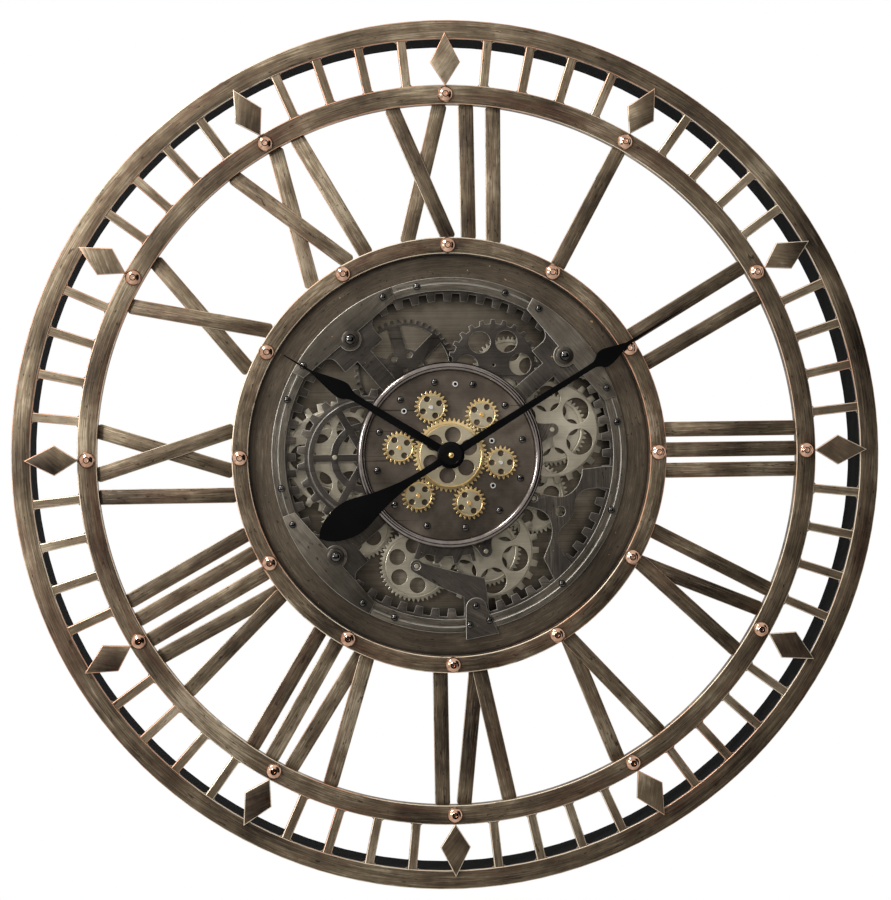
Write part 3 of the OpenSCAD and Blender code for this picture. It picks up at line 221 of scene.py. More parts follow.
# Share of each streak in the relief of brushed metal, and depths of the relief in metres
STREAK_RELIEF, METAL_RELIEF, SMOOTH_RELIEF = 0.6, 0.0004, 0.0003
# Noise values of the first and the second tone, and what the noise adds to the roughness
STAIN_SPAN, STAIN_ROUGH = (0.35, 0.65), 0.16
CLOUD_SPAN, GRAIN_ROUGH = (0.3, 0.7), 0.2

PIT, RUST, WASH = rgb(30, 23, 17), rgb(104, 50, 34), rgb(96, 54, 40)
# The dark second colour here is painted shade, for the shadow that a ring or wheel teeth cast on the plate
# behind
GOLD_FLECK, PAINTED_SHADE = rgb(214, 164, 104), rgb(22, 19, 16)


def metal(name, tones, grain, metallic=0.75, rough=(0.34, 0.56), streak=1.0, edge=None, wear=0.9,
          rust=0.0, pits=0.0, gold=0.0, lines=0.0, painted_shade_ring=None, bump=0.25, coarse=1.0):
    """Brushed, patinated metal. tones runs from dark to light, edge is the two colours of worn edges, which
    on bronze and iron are light enough to be painted highlight along the edges as well, rough is the lowest
    and the highest roughness, and grain is polar, strip or plain. streak is the brushing's share in the
    colour, and coarse scales the brushing. wear, rust, pits, gold (bright flecks) and lines (single dark and
    light scratches) say how much there is of each. A ring of painted shade, for the shadow under a ring or
    between wheel teeth, is given as the radius at which it is darkest and the width over which it fades
    inward."""
    s = Shader(name)
    line = s.brushing(grain)
    fine = s.noise(s.scaled(line, [coarse * v for v in FINE]), scale=1.0, detail=3.0, rough=0.6)
    broad = s.noise(s.scaled(line, [coarse * v for v in BROAD]), scale=1.0, detail=4.0, rough=0.6)
    patch = s.noise(s.place, scale=14.0, detail=5.0, rough=0.6)
    tone = s.plus(s.times(fine, FINE_SHARE * streak), s.times(broad, BROAD_SHARE * streak))
    tone = s.plus(tone, s.times(patch, 1.0 - (FINE_SHARE + BROAD_SHARE) * streak))
    tone = s.plus(tone, s.times(s.attribute("tone"), OWN_SHADE))
    count = len(tones) - 1
    colour = s.ramp(tone, [(TONE_LOW + TONE_SPAN * i / count, c) for i, c in enumerate(tones)])
    if lines:
        dark = s.blots(s.scaled(line, DARK_LINES), low=0.54, high=0.66, rough=0.7)
        light = s.blots(s.scaled(line, LIGHT_LINES), low=0.56, high=0.68, scale=1.7, rough=0.7)
        colour = s.cover(colour, dark, DARK_SHARE * lines, tones[0])
        colour = s.cover(colour, light, LIGHT_SHARE * lines, tones[-1])
    if pits:
        speck = s.blots(s.scaled(line, PIT_MARKS), low=0.67 - 0.04 * pits, high=0.71, detail=2.0)
        colour = s.cover(colour, speck, PIT_SHARE, PIT)
    if rust:
        where = s.blots(s.place, low=0.50, high=0.68, scale=9.0)
        spots = s.blots(s.place, low=0.58, high=0.70, scale=95.0, detail=6.0, rough=0.7)
        wash = s.blots(s.scaled(line, RUST_WASH), low=0.50, high=0.66, detail=4.0)
        colour = s.cover(colour, s.times(where, spots), rust, RUST)
        colour = s.cover(colour, wash, WASH_SHARE * rust, WASH)
    if gold:
        speck = s.blots(s.place, low=0.775, high=0.80, scale=250.0, detail=1.0, rough=0.4)
        colour = s.cover(colour, speck, gold, GOLD_FLECK)
    # Painted shade: a dark ring at a set radius, for the shadow that a ring or wheel teeth cast on the plate
    # behind
    if painted_shade_ring:
        at, fade = painted_shade_ring
        shade_mask = s.step(s.radius(), (at - fade) * MM, at * MM)
        colour = s.cover(colour, shade_mask, PAINTED_SHADE_SHARE, PAINTED_SHADE)
    # Worn edges on the bevels; on bronze and iron their light colours are also painted highlight
    if edge:
        worn = s.times(s.blots(s.place, low=0.24, high=0.46, scale=60.0, detail=4.0), wear)
        edge_wear_and_highlight = s.mix(s.blots(s.place, low=0.42, high=0.58, scale=6.0), *edge)
        colour = s.cover(colour, s.attribute("edge"), worn, edge_wear_and_highlight)
    lowest, highest = rough
    s.surface(colour, s.plus(s.times(broad, highest - lowest), lowest), metallic)
    s.bump(s.plus(s.times(fine, STREAK_RELIEF), s.times(broad, STREAK_RELIEF)), bump, METAL_RELIEF)
    return s.mat


def smooth_metal(name, tones, rough, foot=None, metallic=1.0, bump=0.06):
    """Polished metal of two tones with a faint stain. The optional dark colour is painted shade on the faces
    that the mesh marks: where a head meets its seat, in grooves and holes, and on a dressed piece's bevels.
    """
    s = Shader(name)
    stain = s.noise(s.place, scale=160.0, detail=4.0)
    colour = s.ramp(stain, list(zip(STAIN_SPAN, tones)))
    # Painted shade on the marked faces
    if foot:
        colour = s.mix(s.attribute("edge"), colour, foot)
    s.surface(colour, s.plus(s.times(stain, STAIN_ROUGH), rough), metallic)
    s.bump(s.noise(s.place, scale=700.0, detail=3.0), bump, SMOOTH_RELIEF)
    return s.mat


def plain(name, tones, rough, grain_scale=900.0, bump=0.2, metallic=0.0, gloss=0.5, edge=None):
    """Plastic, rubber or paint of two tones with a fine surface grain; edge is the colour of worn edges."""
    s = Shader(name)
    cloud = s.noise(s.place, scale=30.0, detail=5.0)
    grain = s.noise(s.place, grain_scale, detail=3.0)
    colour = s.ramp(cloud, list(zip(CLOUD_SPAN, tones)))
    if edge:
        worn = s.blots(s.place, low=0.30, high=0.50, scale=40.0, detail=4.0)
        colour = s.cover(colour, s.attribute("edge"), worn, edge)
    s.surface(colour, s.plus(s.times(grain, GRAIN_ROUGH), rough), metallic)
    s.bsdf.inputs["Specular IOR Level"].default_value = gloss
    s.bump(grain, bump, SMOOTH_RELIEF)
    return s.mat


# Tones from dark to light, and the two colours of a worn edge. The bronze and iron edge colours are light
# enough to be painted highlight along the edges as well
BRONZE = [rgb(40, 31, 24), rgb(80, 67, 52), rgb(117, 101, 80), rgb(180, 163, 137)]
UMBER = [rgb(55, 48, 38), rgb(73, 63, 51), rgb(90, 78, 64), rgb(116, 102, 84)]
PLATE = [rgb(56, 50, 42), rgb(80, 73, 63), rgb(98, 90, 79), rgb(132, 123, 109)]
DISC = [rgb(58, 50, 42), rgb(80, 71, 61), rgb(98, 87, 76), rgb(124, 112, 98)]
BASE = [rgb(76, 67, 56), rgb(104, 94, 80), rgb(126, 115, 99), rgb(148, 137, 118)]
IRON = [rgb(40, 36, 32), rgb(60, 54, 48), rgb(76, 69, 61), rgb(110, 101, 90)]
CHAMPAGNE = [rgb(142, 133, 115), rgb(172, 162, 142), rgb(196, 186, 165)]
BRASS_FACE = [rgb(150, 138, 112), rgb(174, 162, 135), rgb(194, 181, 154)]
BRASS = [rgb(166, 138, 92), rgb(200, 172, 120), rgb(224, 200, 150)]

COPPER_WEAR_AND_HIGHLIGHT = (rgb(236, 216, 190), rgb(214, 162, 130))
STEEL_WEAR_AND_HIGHLIGHT = (rgb(176, 170, 160), rgb(150, 142, 130))
CHAMPAGNE_EDGE = (rgb(212, 204, 184), rgb(196, 186, 160))
BRASS_FACE_EDGE = (rgb(232, 208, 156), rgb(216, 180, 118))
BRASS_EDGE = (rgb(244, 224, 178), rgb(228, 194, 132))

# Rings of painted shade, for the inner ring's shadow on the dish and the shade between the ring gear's teeth
# on the base: the radius where each is darkest and the width over which it fades, in millimetres
DISH_PAINTED_SHADE, BASE_PAINTED_SHADE = (INNER_IN_R, 5.0), (154.0, 18.0)

MATS = {
    "rim": metal("rim_bronze", BRONZE, "polar", edge=COPPER_WEAR_AND_HIGHLIGHT, wear=0.8, rust=0.7, pits=0.4,
                 lines=0.45, streak=0.75),
    "ring": metal("ring_bronze", BRONZE, "polar", edge=COPPER_WEAR_AND_HIGHLIGHT, wear=1.0, rust=0.9, pits=0.4,
                  lines=0.45, streak=0.75),
    "strip": metal("strip_bronze", BRONZE, "strip", edge=COPPER_WEAR_AND_HIGHLIGHT, wear=0.6, rust=0.6, pits=1.0,
                   lines=0.6, streak=0.7),
    "diamond": metal("diamond_bronze", BRONZE, "strip", edge=COPPER_WEAR_AND_HIGHLIGHT, wear=1.0, rust=0.3, streak=0.45),
    "bar": metal("bar_bronze", BRONZE[1:], "strip", edge=COPPER_WEAR_AND_HIGHLIGHT, wear=1.0, rust=0.4, pits=0.8,
                 lines=0.6, streak=0.7),
    "dish": metal("dish_iron", UMBER, "polar", edge=STEEL_WEAR_AND_HIGHLIGHT, pits=0.3, gold=0.6, lines=0.3, streak=0.8,
                  painted_shade_ring=DISH_PAINTED_SHADE),
    "trim": metal("trim_iron", PLATE, "polar", edge=STEEL_WEAR_AND_HIGHLIGHT, wear=1.0, pits=0.3),
    "plate": metal("plate_iron", PLATE, "strip", edge=STEEL_WEAR_AND_HIGHLIGHT, pits=0.4, gold=0.9, streak=0.5),
    "disc": metal("disc_iron", DISC, "plain", edge=STEEL_WEAR_AND_HIGHLIGHT, pits=0.3, streak=0.2),
    "base": metal("base_iron", BASE, "plain", lines=0.3, streak=0.5, coarse=0.8, painted_shade_ring=BASE_PAINTED_SHADE),
    "iron": metal("bracket_iron", IRON, "strip", edge=STEEL_WEAR_AND_HIGHLIGHT, wear=0.8, pits=0.3, gold=0.5, streak=0.7),
    "wheel": metal("fixed_wheel_iron", IRON, "plain", edge=STEEL_WEAR_AND_HIGHLIGHT, wear=0.7, pits=0.3, streak=0.5),
    "champagne": metal("gear_champagne", CHAMPAGNE, "plain", rough=(0.30, 0.46), edge=CHAMPAGNE_EDGE,
                       wear=0.6, streak=0.35, bump=0.1),
    "brass_face": metal("gear_brass_face", BRASS_FACE, "plain", rough=(0.26, 0.40), edge=BRASS_FACE_EDGE,
                        wear=0.7, streak=0.3, bump=0.08),
    "brass": metal("gear_brass", BRASS, "plain", metallic=0.95, rough=(0.22, 0.36), edge=BRASS_EDGE,
                   wear=0.8, streak=0.3, bump=0.06),
    # The dark last colour of copper, chrome and silver is painted shade for the marked faces of heads,
    # grooves and holes
    "copper": smooth_metal("nail_copper", [rgb(172, 130, 106), rgb(216, 178, 152)], 0.06,
                           foot=rgb(30, 19, 15), bump=0.03),
    "chrome": smooth_metal("rivet_chrome", [rgb(46, 44, 42), rgb(98, 95, 92)], 0.03,
                           foot=rgb(12, 11, 10), bump=0.02),
    "wire": smooth_metal("wire_steel", [rgb(116, 107, 102), rgb(132, 123, 117)], 0.10, bump=0.0),
    "silver": smooth_metal("pin_silver", [rgb(196, 194, 190), rgb(220, 218, 214)], 0.14,
                           foot=rgb(28, 26, 24)),
    "pin": smooth_metal("pin_brass", [rgb(196, 152, 86), rgb(224, 184, 116)], 0.14),
    "screw": smooth_metal("screw_dark", [rgb(56, 50, 44), rgb(74, 68, 60)], 0.30, metallic=0.8),
    "zinc": smooth_metal("zinc_plate", [rgb(138, 138, 140), rgb(160, 160, 162)], 0.30),
    "hoop": plain("hoop_black", [rgb(10, 10, 9), rgb(19, 18, 17)], 0.80, grain_scale=260.0, bump=0.25,
                  gloss=0.04, edge=rgb(112, 104, 102)),
    "hand": plain("hand_black", [rgb(4, 4, 4), rgb(9, 9, 9)], 0.40, grain_scale=1400.0, bump=0.06,
                  gloss=0.035),
    "hub": plain("hub_black", [rgb(4, 4, 4), rgb(8, 8, 8)], 0.16, grain_scale=1400.0, bump=0.02,
                 gloss=0.07),
    "pad": plain("pad_rubber", [rgb(20, 20, 20), rgb(32, 32, 31)], 0.66),
    "plastic": plain("case_plastic", [rgb(24, 24, 25), rgb(34, 34, 35)], 0.44, grain_scale=1600.0,
                     bump=0.3),
    "back": plain("back_paint", [rgb(30, 28, 26), rgb(44, 41, 38)], 0.50, grain_scale=700.0, bump=0.3,
                  metallic=0.3),
    "flag": plain("flag_dark", [rgb(24, 24, 24), rgb(28, 28, 28)], 0.9, grain_scale=40.0, bump=0.0),
    "jacket": smooth_metal("cell_jacket", [rgb(92, 94, 98), rgb(108, 110, 116)], 0.30, metallic=0.7),
}


# Shapes made from the CAD nodes: welded, with worn edges and a brushing direction

# Corners of a mesh nearer than this are one, in millimetres, and faces within this angle are one flat face
WELD, FLAT_WITHIN = 0.002, 0.4
# The y part of the normal from which a face is a front or a back, and the angle from which an edge is sharp
FACING, SHARP = 0.98, 35
# Reach of a solid's random place in the brushing, and of its random shade
PLACE_REACH, SHADE_REACH = 50, 0.06

BODY = {node: body for body, nodes in frame["record"]["behaviour"]["bodies"].items() for node in nodes}


def placed(name, data):
    """A new object in the scene."""
    obj = bpy.data.objects.new(name, data)
    bpy.context.scene.collection.objects.link(obj)
    return obj


def welded(node):
    """The node's CAD mesh, with the corners of its triangles joined."""
    bm = bmesh.new()
    bm.from_mesh(frame["nodes"][node].data)
    bmesh.ops.remove_doubles(bm, verts=bm.verts, dist=WELD * MM)
    return bm


def islands(bm):
    """The solids of a mesh, each as a list of vertices."""
    seen, out = set(), []
    for start in bm.verts:
        if start.index in seen:
            continue
        seen.add(start.index)
        group, stack = [], [start]
        while stack:
            vert = stack.pop()
            group.append(vert)
            for edge in vert.link_edges:
                other = edge.other_vert(vert)
                if other.index not in seen:
                    seen.add(other.index)
                    stack.append(other)
        out.append(group)
    return out


def solids_of(node):
    """Centre, radius and levels in millimetres of each solid of a node."""
    bm = welded(node)
    bm.verts.index_update()
    out = []
    for group in islands(bm):
        xs = [v.co.x / MM for v in group]
        ys = [-v.co.y / MM for v in group]
        zs = [v.co.z / MM for v in group]
        out.append({"at": ((min(xs) + max(xs)) / 2, (min(zs) + max(zs)) / 2), "r": (max(xs) - min(xs)) / 2,
                    "back": min(ys), "front": max(ys)})
    bm.free()
    return out


def flat_side(face):
    return abs(face.normal.y) > FACING


def wear_edges(bm, width, segments=2):
    """Bevels the sharp edges along the front and back faces, and marks what the bevel made."""
    layer = bm.faces.layers.float.new("edge")
    chosen = []
    for edge in bm.edges:
        if len(edge.link_faces) != 2:
            continue
        a, b = edge.link_faces
        if flat_side(a) == flat_side(b):
            continue
        if edge.calc_face_angle(0) > math.radians(SHARP):
            chosen.append(edge)
    made = bmesh.ops.bevel(bm, geom=chosen, offset=width * MM, offset_type="OFFSET", segments=segments,
                           profile=0.5, affect="EDGES", clamp_overlap=False, material=-1)
    for face in made["faces"]:
        face[layer] = 1.0


def main_direction(points, centre):
    """Direction in the dial's plane along which the points spread most."""
    sxx = sum((p.x - centre.x) ** 2 for p in points)
    szz = sum((p.z - centre.z) ** 2 for p in points)
    sxz = sum((p.x - centre.x) * (p.z - centre.z) for p in points)
    angle = 0.5 * math.atan2(2 * sxz, sxx - szz)
    return Vector((math.cos(angle), 0, math.sin(angle)))


def add_grain(bm, rng, turn=0.0):
    """Writes each solid's brushing coordinates and its own shade of the colour."""
    line = bm.verts.layers.float_vector.new("grain")
    shade = bm.verts.layers.float.new("tone")
    bm.verts.index_update()
    for group in islands(bm):
        points = [v.co for v in group]
        centre = sum(points, Vector()) / len(points)
        along = Matrix.Rotation(turn, 3, "Y") @ main_direction(points, centre)
        across = Vector((-along.z, 0, along.x))
        shift = Vector((rng.uniform(0, PLACE_REACH), rng.uniform(0, PLACE_REACH), 0))
        own_shade = rng.uniform(-SHADE_REACH, SHADE_REACH)
        for vert in group:
            p = vert.co - centre
            vert[line] = shift + Vector((p.dot(along), p.y, p.dot(across)))
            vert[shade] = own_shade


def finish_mesh(name, bm, mats, sharp=24):
    """Turns the mesh into an object, shaded smooth but for edges sharper than the angle in degrees."""
    mesh = bpy.data.meshes.new(name)
    bm.to_mesh(mesh)
    bm.free()
    mesh.polygons.foreach_set("use_smooth", [True] * len(mesh.polygons))
    mesh.set_sharp_from_angle(angle=math.radians(sharp))
    for mat in mats:
        mesh.materials.append(MATS[mat])
    return placed(name, mesh)


def stands_for(obj, node, stands_in=True):
    """Puts the object on the node's body, in the node's place unless stands_in is False."""
    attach(obj, BODY[node])
    if stands_in:
        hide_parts(node)


def dress(node, mats, width, segments=2, choose=None, turn=0.0, grain=True):
    """The node's own solids with worn edges, of a width in millimetres. choose picks a face's material, and
    turn is the angle in radians between a solid's length and its brushing."""
    bm = welded(node)
    bmesh.ops.dissolve_limit(bm, angle_limit=math.radians(FLAT_WITHIN), verts=bm.verts, edges=bm.edges)
    wear_edges(bm, width, segments)
    if grain:
        add_grain(bm, random.Random(node), turn)
    if choose:
        for face in bm.faces:
            face.material_index = choose(face)
    stands_for(finish_mesh(node + "_shape", bm, mats), node)


# Shapes made here: turned forms and flat plates. Angles of a ring's points run clockwise from twelve

# Points round a large ring, and the least height over which a form's share of painted shade, from its lowest
# edge up, is measured
RING_STEPS, LEAST_HEIGHT = 240, 0.01
# The upright lip under a round head, and the power of the cosine that makes the head fuller than an arc
HEAD_LIP, HEAD_FULLNESS = 0.3, 0.9
# Seeds of the random shades
BARS_SEED, NUMERALS_SEED = 3, 12


def quarter(steps):
    """The angles from 0 to 90 degrees, in equal steps."""
    return [math.pi / 2 * k / steps for k in range(steps + 1)]


def lathe(bm, at, profile, steps, foot=0.0, material=0, dark=()):
    """Adds a turned form; profile is [radius, level] from its back edge to its middle. The lowest part up to
    a given share of the height, and the rows in dark, are marked; the material paints them as painted shade
    where a head meets its seat or in a groove or hole, or as a worn edge that is also painted highlight."""
    layer = bm.faces.layers.float.get("edge") or bm.faces.layers.float.new("edge")
    rows = []
    for r, level in profile:
        if r <= 0:
            rows.append([bm.verts.new((at[0] * MM, -level * MM, at[1] * MM))])
            continue
        ring = []
        for k in range(steps):
            a = math.tau * k / steps
            ring.append(bm.verts.new(((at[0] + r * math.sin(a)) * MM, -level * MM,
                                      (at[1] + r * math.cos(a)) * MM)))
        rows.append(ring)
    low, high = profile[0][1], max(p[1] for p in profile)
    for i in range(len(rows) - 1):
        a, b = rows[i], rows[i + 1]
        level = (profile[i][1] + profile[i + 1][1]) / 2
        share = (level - low) / max(high - low, LEAST_HEIGHT)
        for k in range(steps):
            n = (k + 1) % steps
            if len(a) == 1:
                face = bm.faces.new((a[0], b[n], b[k]))
            elif len(b) == 1:
                face = bm.faces.new((a[k], a[n], b[0]))
            else:
                face = bm.faces.new((a[k], a[n], b[n], b[k]))
            # Marked faces take painted shade or a worn edge with painted highlight, as the material says
            face[layer] = 1.0 if share < foot or i in dark else 0.0
            face.material_index = material


def dome_profile(back, r, h, steps):
    """A round head that meets its seat steeply, over a short upright lip."""
    out = [(r, back), (r, back + HEAD_LIP)]
    for k, a in enumerate(quarter(steps)[1:], 1):
        out.append((r * math.cos(a) ** HEAD_FULLNESS if k < steps else 0.0,
                    back + HEAD_LIP + (h - HEAD_LIP) * math.sin(a)))
    return out


def prism(bm, outline, back, front):
    """Adds a plate with the outline, a list of (x, z) in millimetres."""
    low = [bm.verts.new((x * MM, -back * MM, z * MM)) for x, z in outline]
    high = [bm.verts.new((x * MM, -front * MM, z * MM)) for x, z in outline]
    bm.faces.new(low)
    bm.faces.new(list(reversed(high)))
    n = len(outline)
    for k in range(n):
        bm.faces.new((low[k], high[k], high[(k + 1) % n], low[(k + 1) % n]))


def turned(points, turn):
    """The points turned clockwise round the hands' axis, by degrees."""
    a = math.radians(turn)
    return [(x * math.cos(a) + z * math.sin(a), z * math.cos(a) - x * math.sin(a)) for x, z in points]


# Dial: rim, rings, marks and nails

dress("rim_hoop", ["hoop"], 0.7, grain=False)
dress("rim_face", ["rim"], 0.7, segments=3)
dress("wall_pads", ["pad"], 0.5, grain=False)
dress("inner_ring", ["ring"], 0.8, segments=3)


def middle_ring():
    """One flat ring over the joints between the arcs, with rounded front edges in the worn edge colours,
    which are also painted highlight.
    """
    worn, steps = 0.7, 3
    corner = [(worn * (1 - math.cos(a)), worn * (1 - math.sin(a))) for a in quarter(steps)]
    profile = [(MID_R, MID_BACK)]
    profile += [(MID_R - side, MID_FRONT - down) for side, down in corner]
    profile += [(MID_IN_R + side, MID_FRONT - down) for down, side in corner]
    profile += [(MID_IN_R, MID_BACK), (MID_R, MID_BACK)]
    outer_rows, inner_rows = range(1, 1 + steps), range(2 + steps, 2 + 2 * steps)
    bm = bmesh.new()
    lathe(bm, (0, 0), profile, RING_STEPS, dark=(*outer_rows, *inner_rows))
    stands_for(finish_mesh("middle_ring_shape", bm, ["ring"]), "middle_ring")


def weld_fillet(side, end, inward):
    """The concave corner between a bar's side and a ring; inward is +1 at the bar's lower end."""
    flare, in_bar, in_ring, steps = 3.0, 0.3, 0.8, 5
    half, sunk = BAR_W / 2 - in_bar, end - inward * in_ring
    out = [(side * half, sunk), (side * (half + flare), sunk)]
    for a in quarter(steps):
        out.append((side * (half + flare * (1 - math.sin(a))), end + inward * flare * (1 - math.cos(a))))
    return out


def minute_bars():
    """Bars between the middle ring and the rim, with weld fillets in the corners."""
    in_ring, in_rim, worn, fillet_low, fillet_high = 1, 0.6, 0.8, 0.6, 0.7
    half, back = BAR_W / 2, BAR_FRONT - BAR_T
    low = math.sqrt(MID_R ** 2 - half ** 2)
    high = math.sqrt(RIM_IN_R ** 2 - half ** 2)
    shape = [(half, low - in_ring), (half, high + in_rim), (-half, high + in_rim), (-half, low - in_ring)]
    bm = bmesh.new()
    turns = [MINUTE * k for k in range(60) if k % 5]
    for turn in turns:
        prism(bm, turned(shape, turn), back, BAR_FRONT)
    bmesh.ops.recalc_face_normals(bm, faces=bm.faces)
    bm.normal_update()
    wear_edges(bm, worn)
    for turn in turns:
        for side in (1, -1):
            for end, inward in ((low, 1), (high, -1)):
                fillet = turned(weld_fillet(side, end, inward), turn)
                prism(bm, fillet, back + fillet_low, BAR_FRONT - fillet_high)
    bmesh.ops.recalc_face_normals(bm, faces=bm.faces)
    add_grain(bm, random.Random(BARS_SEED))
    stands_for(finish_mesh("minute_bars_shape", bm, ["bar"]), "minute_bars")


middle_ring()
minute_bars()
dress("hour_diamonds", ["diamond"], 0.7, turn=math.radians(DIAMOND_BRUSHING))

# Strokes of the numerals 1 to 12: [layer from the front, offset at the outer end, offset at the inner end]
NUMERALS = [
    [[0, -1, 2]],
    [[0, -11, -9], [0, 21, 20]],
    [[0, -21, -21], [0, -2, -2], [0, 17, 17]],
    [[0, -36, -31], [1, -16, 1], [0, 28, 0]],
    [[1, 10, -8], [0, -36, -8]],
    [[0, 11, 11.5], [1, -9, -22], [0, -51, -25]],
    [[0, 28, 25.5], [0, 7.5, 7], [1, -13, -18], [0, -52, -24]],
    [[0, 35.5, 33.5], [0, 17, 15], [0, -4.5, -6], [1, -23, -27], [0, -63, -31]],
    [[0, -14, 25.5], [1, 26.5, -12], [0, -34, -34]],
    [[0, -24, 19], [1, 23, -22]],
    [[0, -40, 11], [1, 6, -29], [0, 28, 28.5]],
    [[0, -49, 1.5], [1, -5, -36.5], [0, 19, 20], [0, 44, 43]],
]


def stroke_outline(outer_off, inner_off):
    """A strip with rounded corners whose ends reach just past the two rings."""
    past, corner, steps = 1.4, 3.4, 4
    start = Vector((inner_off, math.sqrt(INNER_R ** 2 - inner_off ** 2)))
    end = Vector((outer_off, math.sqrt(MID_IN_R ** 2 - outer_off ** 2)))
    along = (end - start).normalized()
    across = Vector((along.y, -along.x))
    half, length = STROKE_W / 2, (end - start).length + 2 * past
    origin = start - along * past
    out = []
    for cx, cz, first in ((half - corner, corner, 90), (corner - half, corner, 180),
                          (corner - half, length - corner, 270), (half - corner, length - corner, 0)):
        for k in range(steps + 1):
            a = math.radians(first + 90 * k / steps)
            p = origin + across * (cx + corner * math.sin(a)) + along * (cz + corner * math.cos(a))
            out.append((p.x, p.y))
    return out


def roman_numerals():
    """The strokes in two layers. No two of a numeral lie at quite the same level, and layers don't touch."""
    stagger, between, worn = 0.02, 0.1, 0.5
    bm = bmesh.new()
    for hour, strokes in enumerate(NUMERALS, 1):
        for index, (layer, outer_off, inner_off) in enumerate(strokes):
            front = STROKE_FRONT - layer * STROKE_T - stagger * index
            outline = turned(stroke_outline(outer_off, inner_off), HOUR * hour)
            prism(bm, outline, front - STROKE_T + between, front)
    bmesh.ops.recalc_face_normals(bm, faces=bm.faces)
    bm.normal_update()
    wear_edges(bm, worn)
    add_grain(bm, random.Random(NUMERALS_SEED))
    stands_for(finish_mesh("roman_numerals_shape", bm, ["strip"]), "roman_numerals")


def copper_domes():
    """Domed nails with a flat crown, and in it a groove round a raised ring with a pit."""
    lip, dome_low, step, steps = 0.5, 0.1, 8.5, 8
    crown_r, crown_low, groove_r, groove_in_r, ring_r, groove_deep = 3.0, 0.2, 2.75, 2.4, 2.2, 0.7
    pit_r, pit_floor_r, pit_deep = 1.2, 1.0, 0.6
    bm = bmesh.new()
    for s in solids_of("copper_domes"):
        r, back, front = s["r"], s["back"], s["front"]
        rise = front - back - (lip + dome_low)
        profile = [(r, back), (r, back + lip)]
        for k in range(1, steps + 1):
            a = math.radians(step * k)
            if r * math.cos(a) > crown_r:
                profile.append((r * math.cos(a), back + lip + rise * math.sin(a)))
        groove = len(profile)
        profile += [(crown_r, front - crown_low), (groove_r, front - groove_deep),
                    (groove_in_r, front - groove_deep), (ring_r, front), (pit_r, front),
                    (pit_floor_r, front - pit_deep), (0, front - pit_deep)]
        # The lowest share of each dome and its groove rows take painted shade
        lathe(bm, s["at"], profile, steps=48, foot=0.14, dark=(groove, groove + 1, groove + 2))
    stands_for(finish_mesh("copper_domes_shape", bm, ["copper"], sharp=50), "copper_domes")


roman_numerals()
copper_domes()

# Dish, case and plates: node, material, width of the worn edges, and whether each solid has its own brushing

for node, mat, width, grain in (
        ("dish_plate", "dish", 0.4, True), ("case_drum", "back", 0.3, False),
        ("rear_cover", "back", 0.3, False), ("cover_screws", "zinc", 0.15, False),
        ("base_plate", "base", 0.3, False), ("brass_bushes", "pin", 0.25, False),
        ("ring_gear", "wheel", 0.3, False), ("trim_strip", "trim", 0.35, False),
        ("cover_plates", "plate", 0.45, True), ("bracket_arms", "iron", 0.4, True),
        ("forked_bracket", "iron", 0.4, True), ("foot_bracket", "iron", 0.45, True),
        ("lever_cock", "iron", 0.4, True), ("sub_plate", "iron", 0.35, True),
        ("centre_disc", "disc", 0.3, False), ("pillars", "zinc", 0.3, False),
        ("spoked_wheel", "wheel", 0.35, False), ("upper_left_wheel", "wheel", 0.3, False),
        ("upper_right_wheel", "wheel", 0.35, False)):
    dress(node, [mat], width, grain=grain)


def disc_wire():
    """The half-round wire along the centre disc's edge."""
    s = solids_of("disc_wire")[0]
    half = s["front"] - s["back"]
    middle = s["r"] - half
    steps = 14
    angles = [math.pi * k / steps for k in range(steps + 1)]
    profile = [(middle + half * math.cos(a), s["back"] + half * math.sin(a)) for a in angles]
    bm = bmesh.new()
    lathe(bm, (0, 0), profile + [profile[0]], RING_STEPS)
    stands_for(finish_mesh("disc_wire_shape", bm, ["wire"], sharp=60), "disc_wire")


def rivets(node, mat, foot=0.30):
    """Round heads in the place of the node's solids."""
    bm = bmesh.new()
    for s in solids_of(node):
        head = dome_profile(s["back"], s["r"], s["front"] - s["back"], steps=9)
        # The lowest part of each head takes painted shade where it meets its seat
        lathe(bm, s["at"], head, steps=32, foot=foot)
    stands_for(finish_mesh(node + "_shape", bm, [mat], sharp=50), node)


def large_rivets():
    """Round heads on chamfered washers, whose shanks reach back from the plate."""
    chamfer, chamfer_h, under, under_h = 0.5, 0.35, 0.4, 0.15
    seat = PLATE_FRONT + WASHER_T
    bm = bmesh.new()
    for s in solids_of("large_rivets"):
        washer = [(BIG_SHANK_R, s["back"]), (BIG_SHANK_R, PLATE_FRONT), (s["r"], PLATE_FRONT),
                  (s["r"], seat - chamfer_h), (s["r"] - chamfer, seat), (BIG_RIVET_R - under, seat + under_h)]
        lathe(bm, s["at"], washer, steps=40, material=1)
        head = dome_profile(seat, BIG_RIVET_R, s["front"] - seat, steps=10)
        # The lowest part of each head takes painted shade where it meets the washer
        lathe(bm, s["at"], head, steps=40, foot=0.18)
    stands_for(finish_mesh("large_rivets_shape", bm, ["chrome", "screw"], sharp=50), "large_rivets")


def disc_eyelets():
    """Flanges with a chamfered outer edge round a blind hole, whose wall and floor take painted shade."""
    chamfer, flange_in, hole, edge_deep, hole_floor = 0.4, 0.55, 0.45, 0.3, 0.2
    bm = bmesh.new()
    for s in solids_of("disc_eyelets"):
        r, back, front = s["r"], s["back"], s["front"]
        profile = [(r, back), (r, front - chamfer), (r - chamfer, front), (r * flange_in, front),
                   (r * hole, front - edge_deep), (r * hole, back + hole_floor), (0, back + hole_floor)]
        # Rows 3 to 5, the hole's edge, wall and floor, take painted shade
        lathe(bm, s["at"], profile, steps=28, dark=(3, 4, 5))
    stands_for(finish_mesh("disc_eyelets_shape", bm, ["silver"], sharp=40), "disc_eyelets")


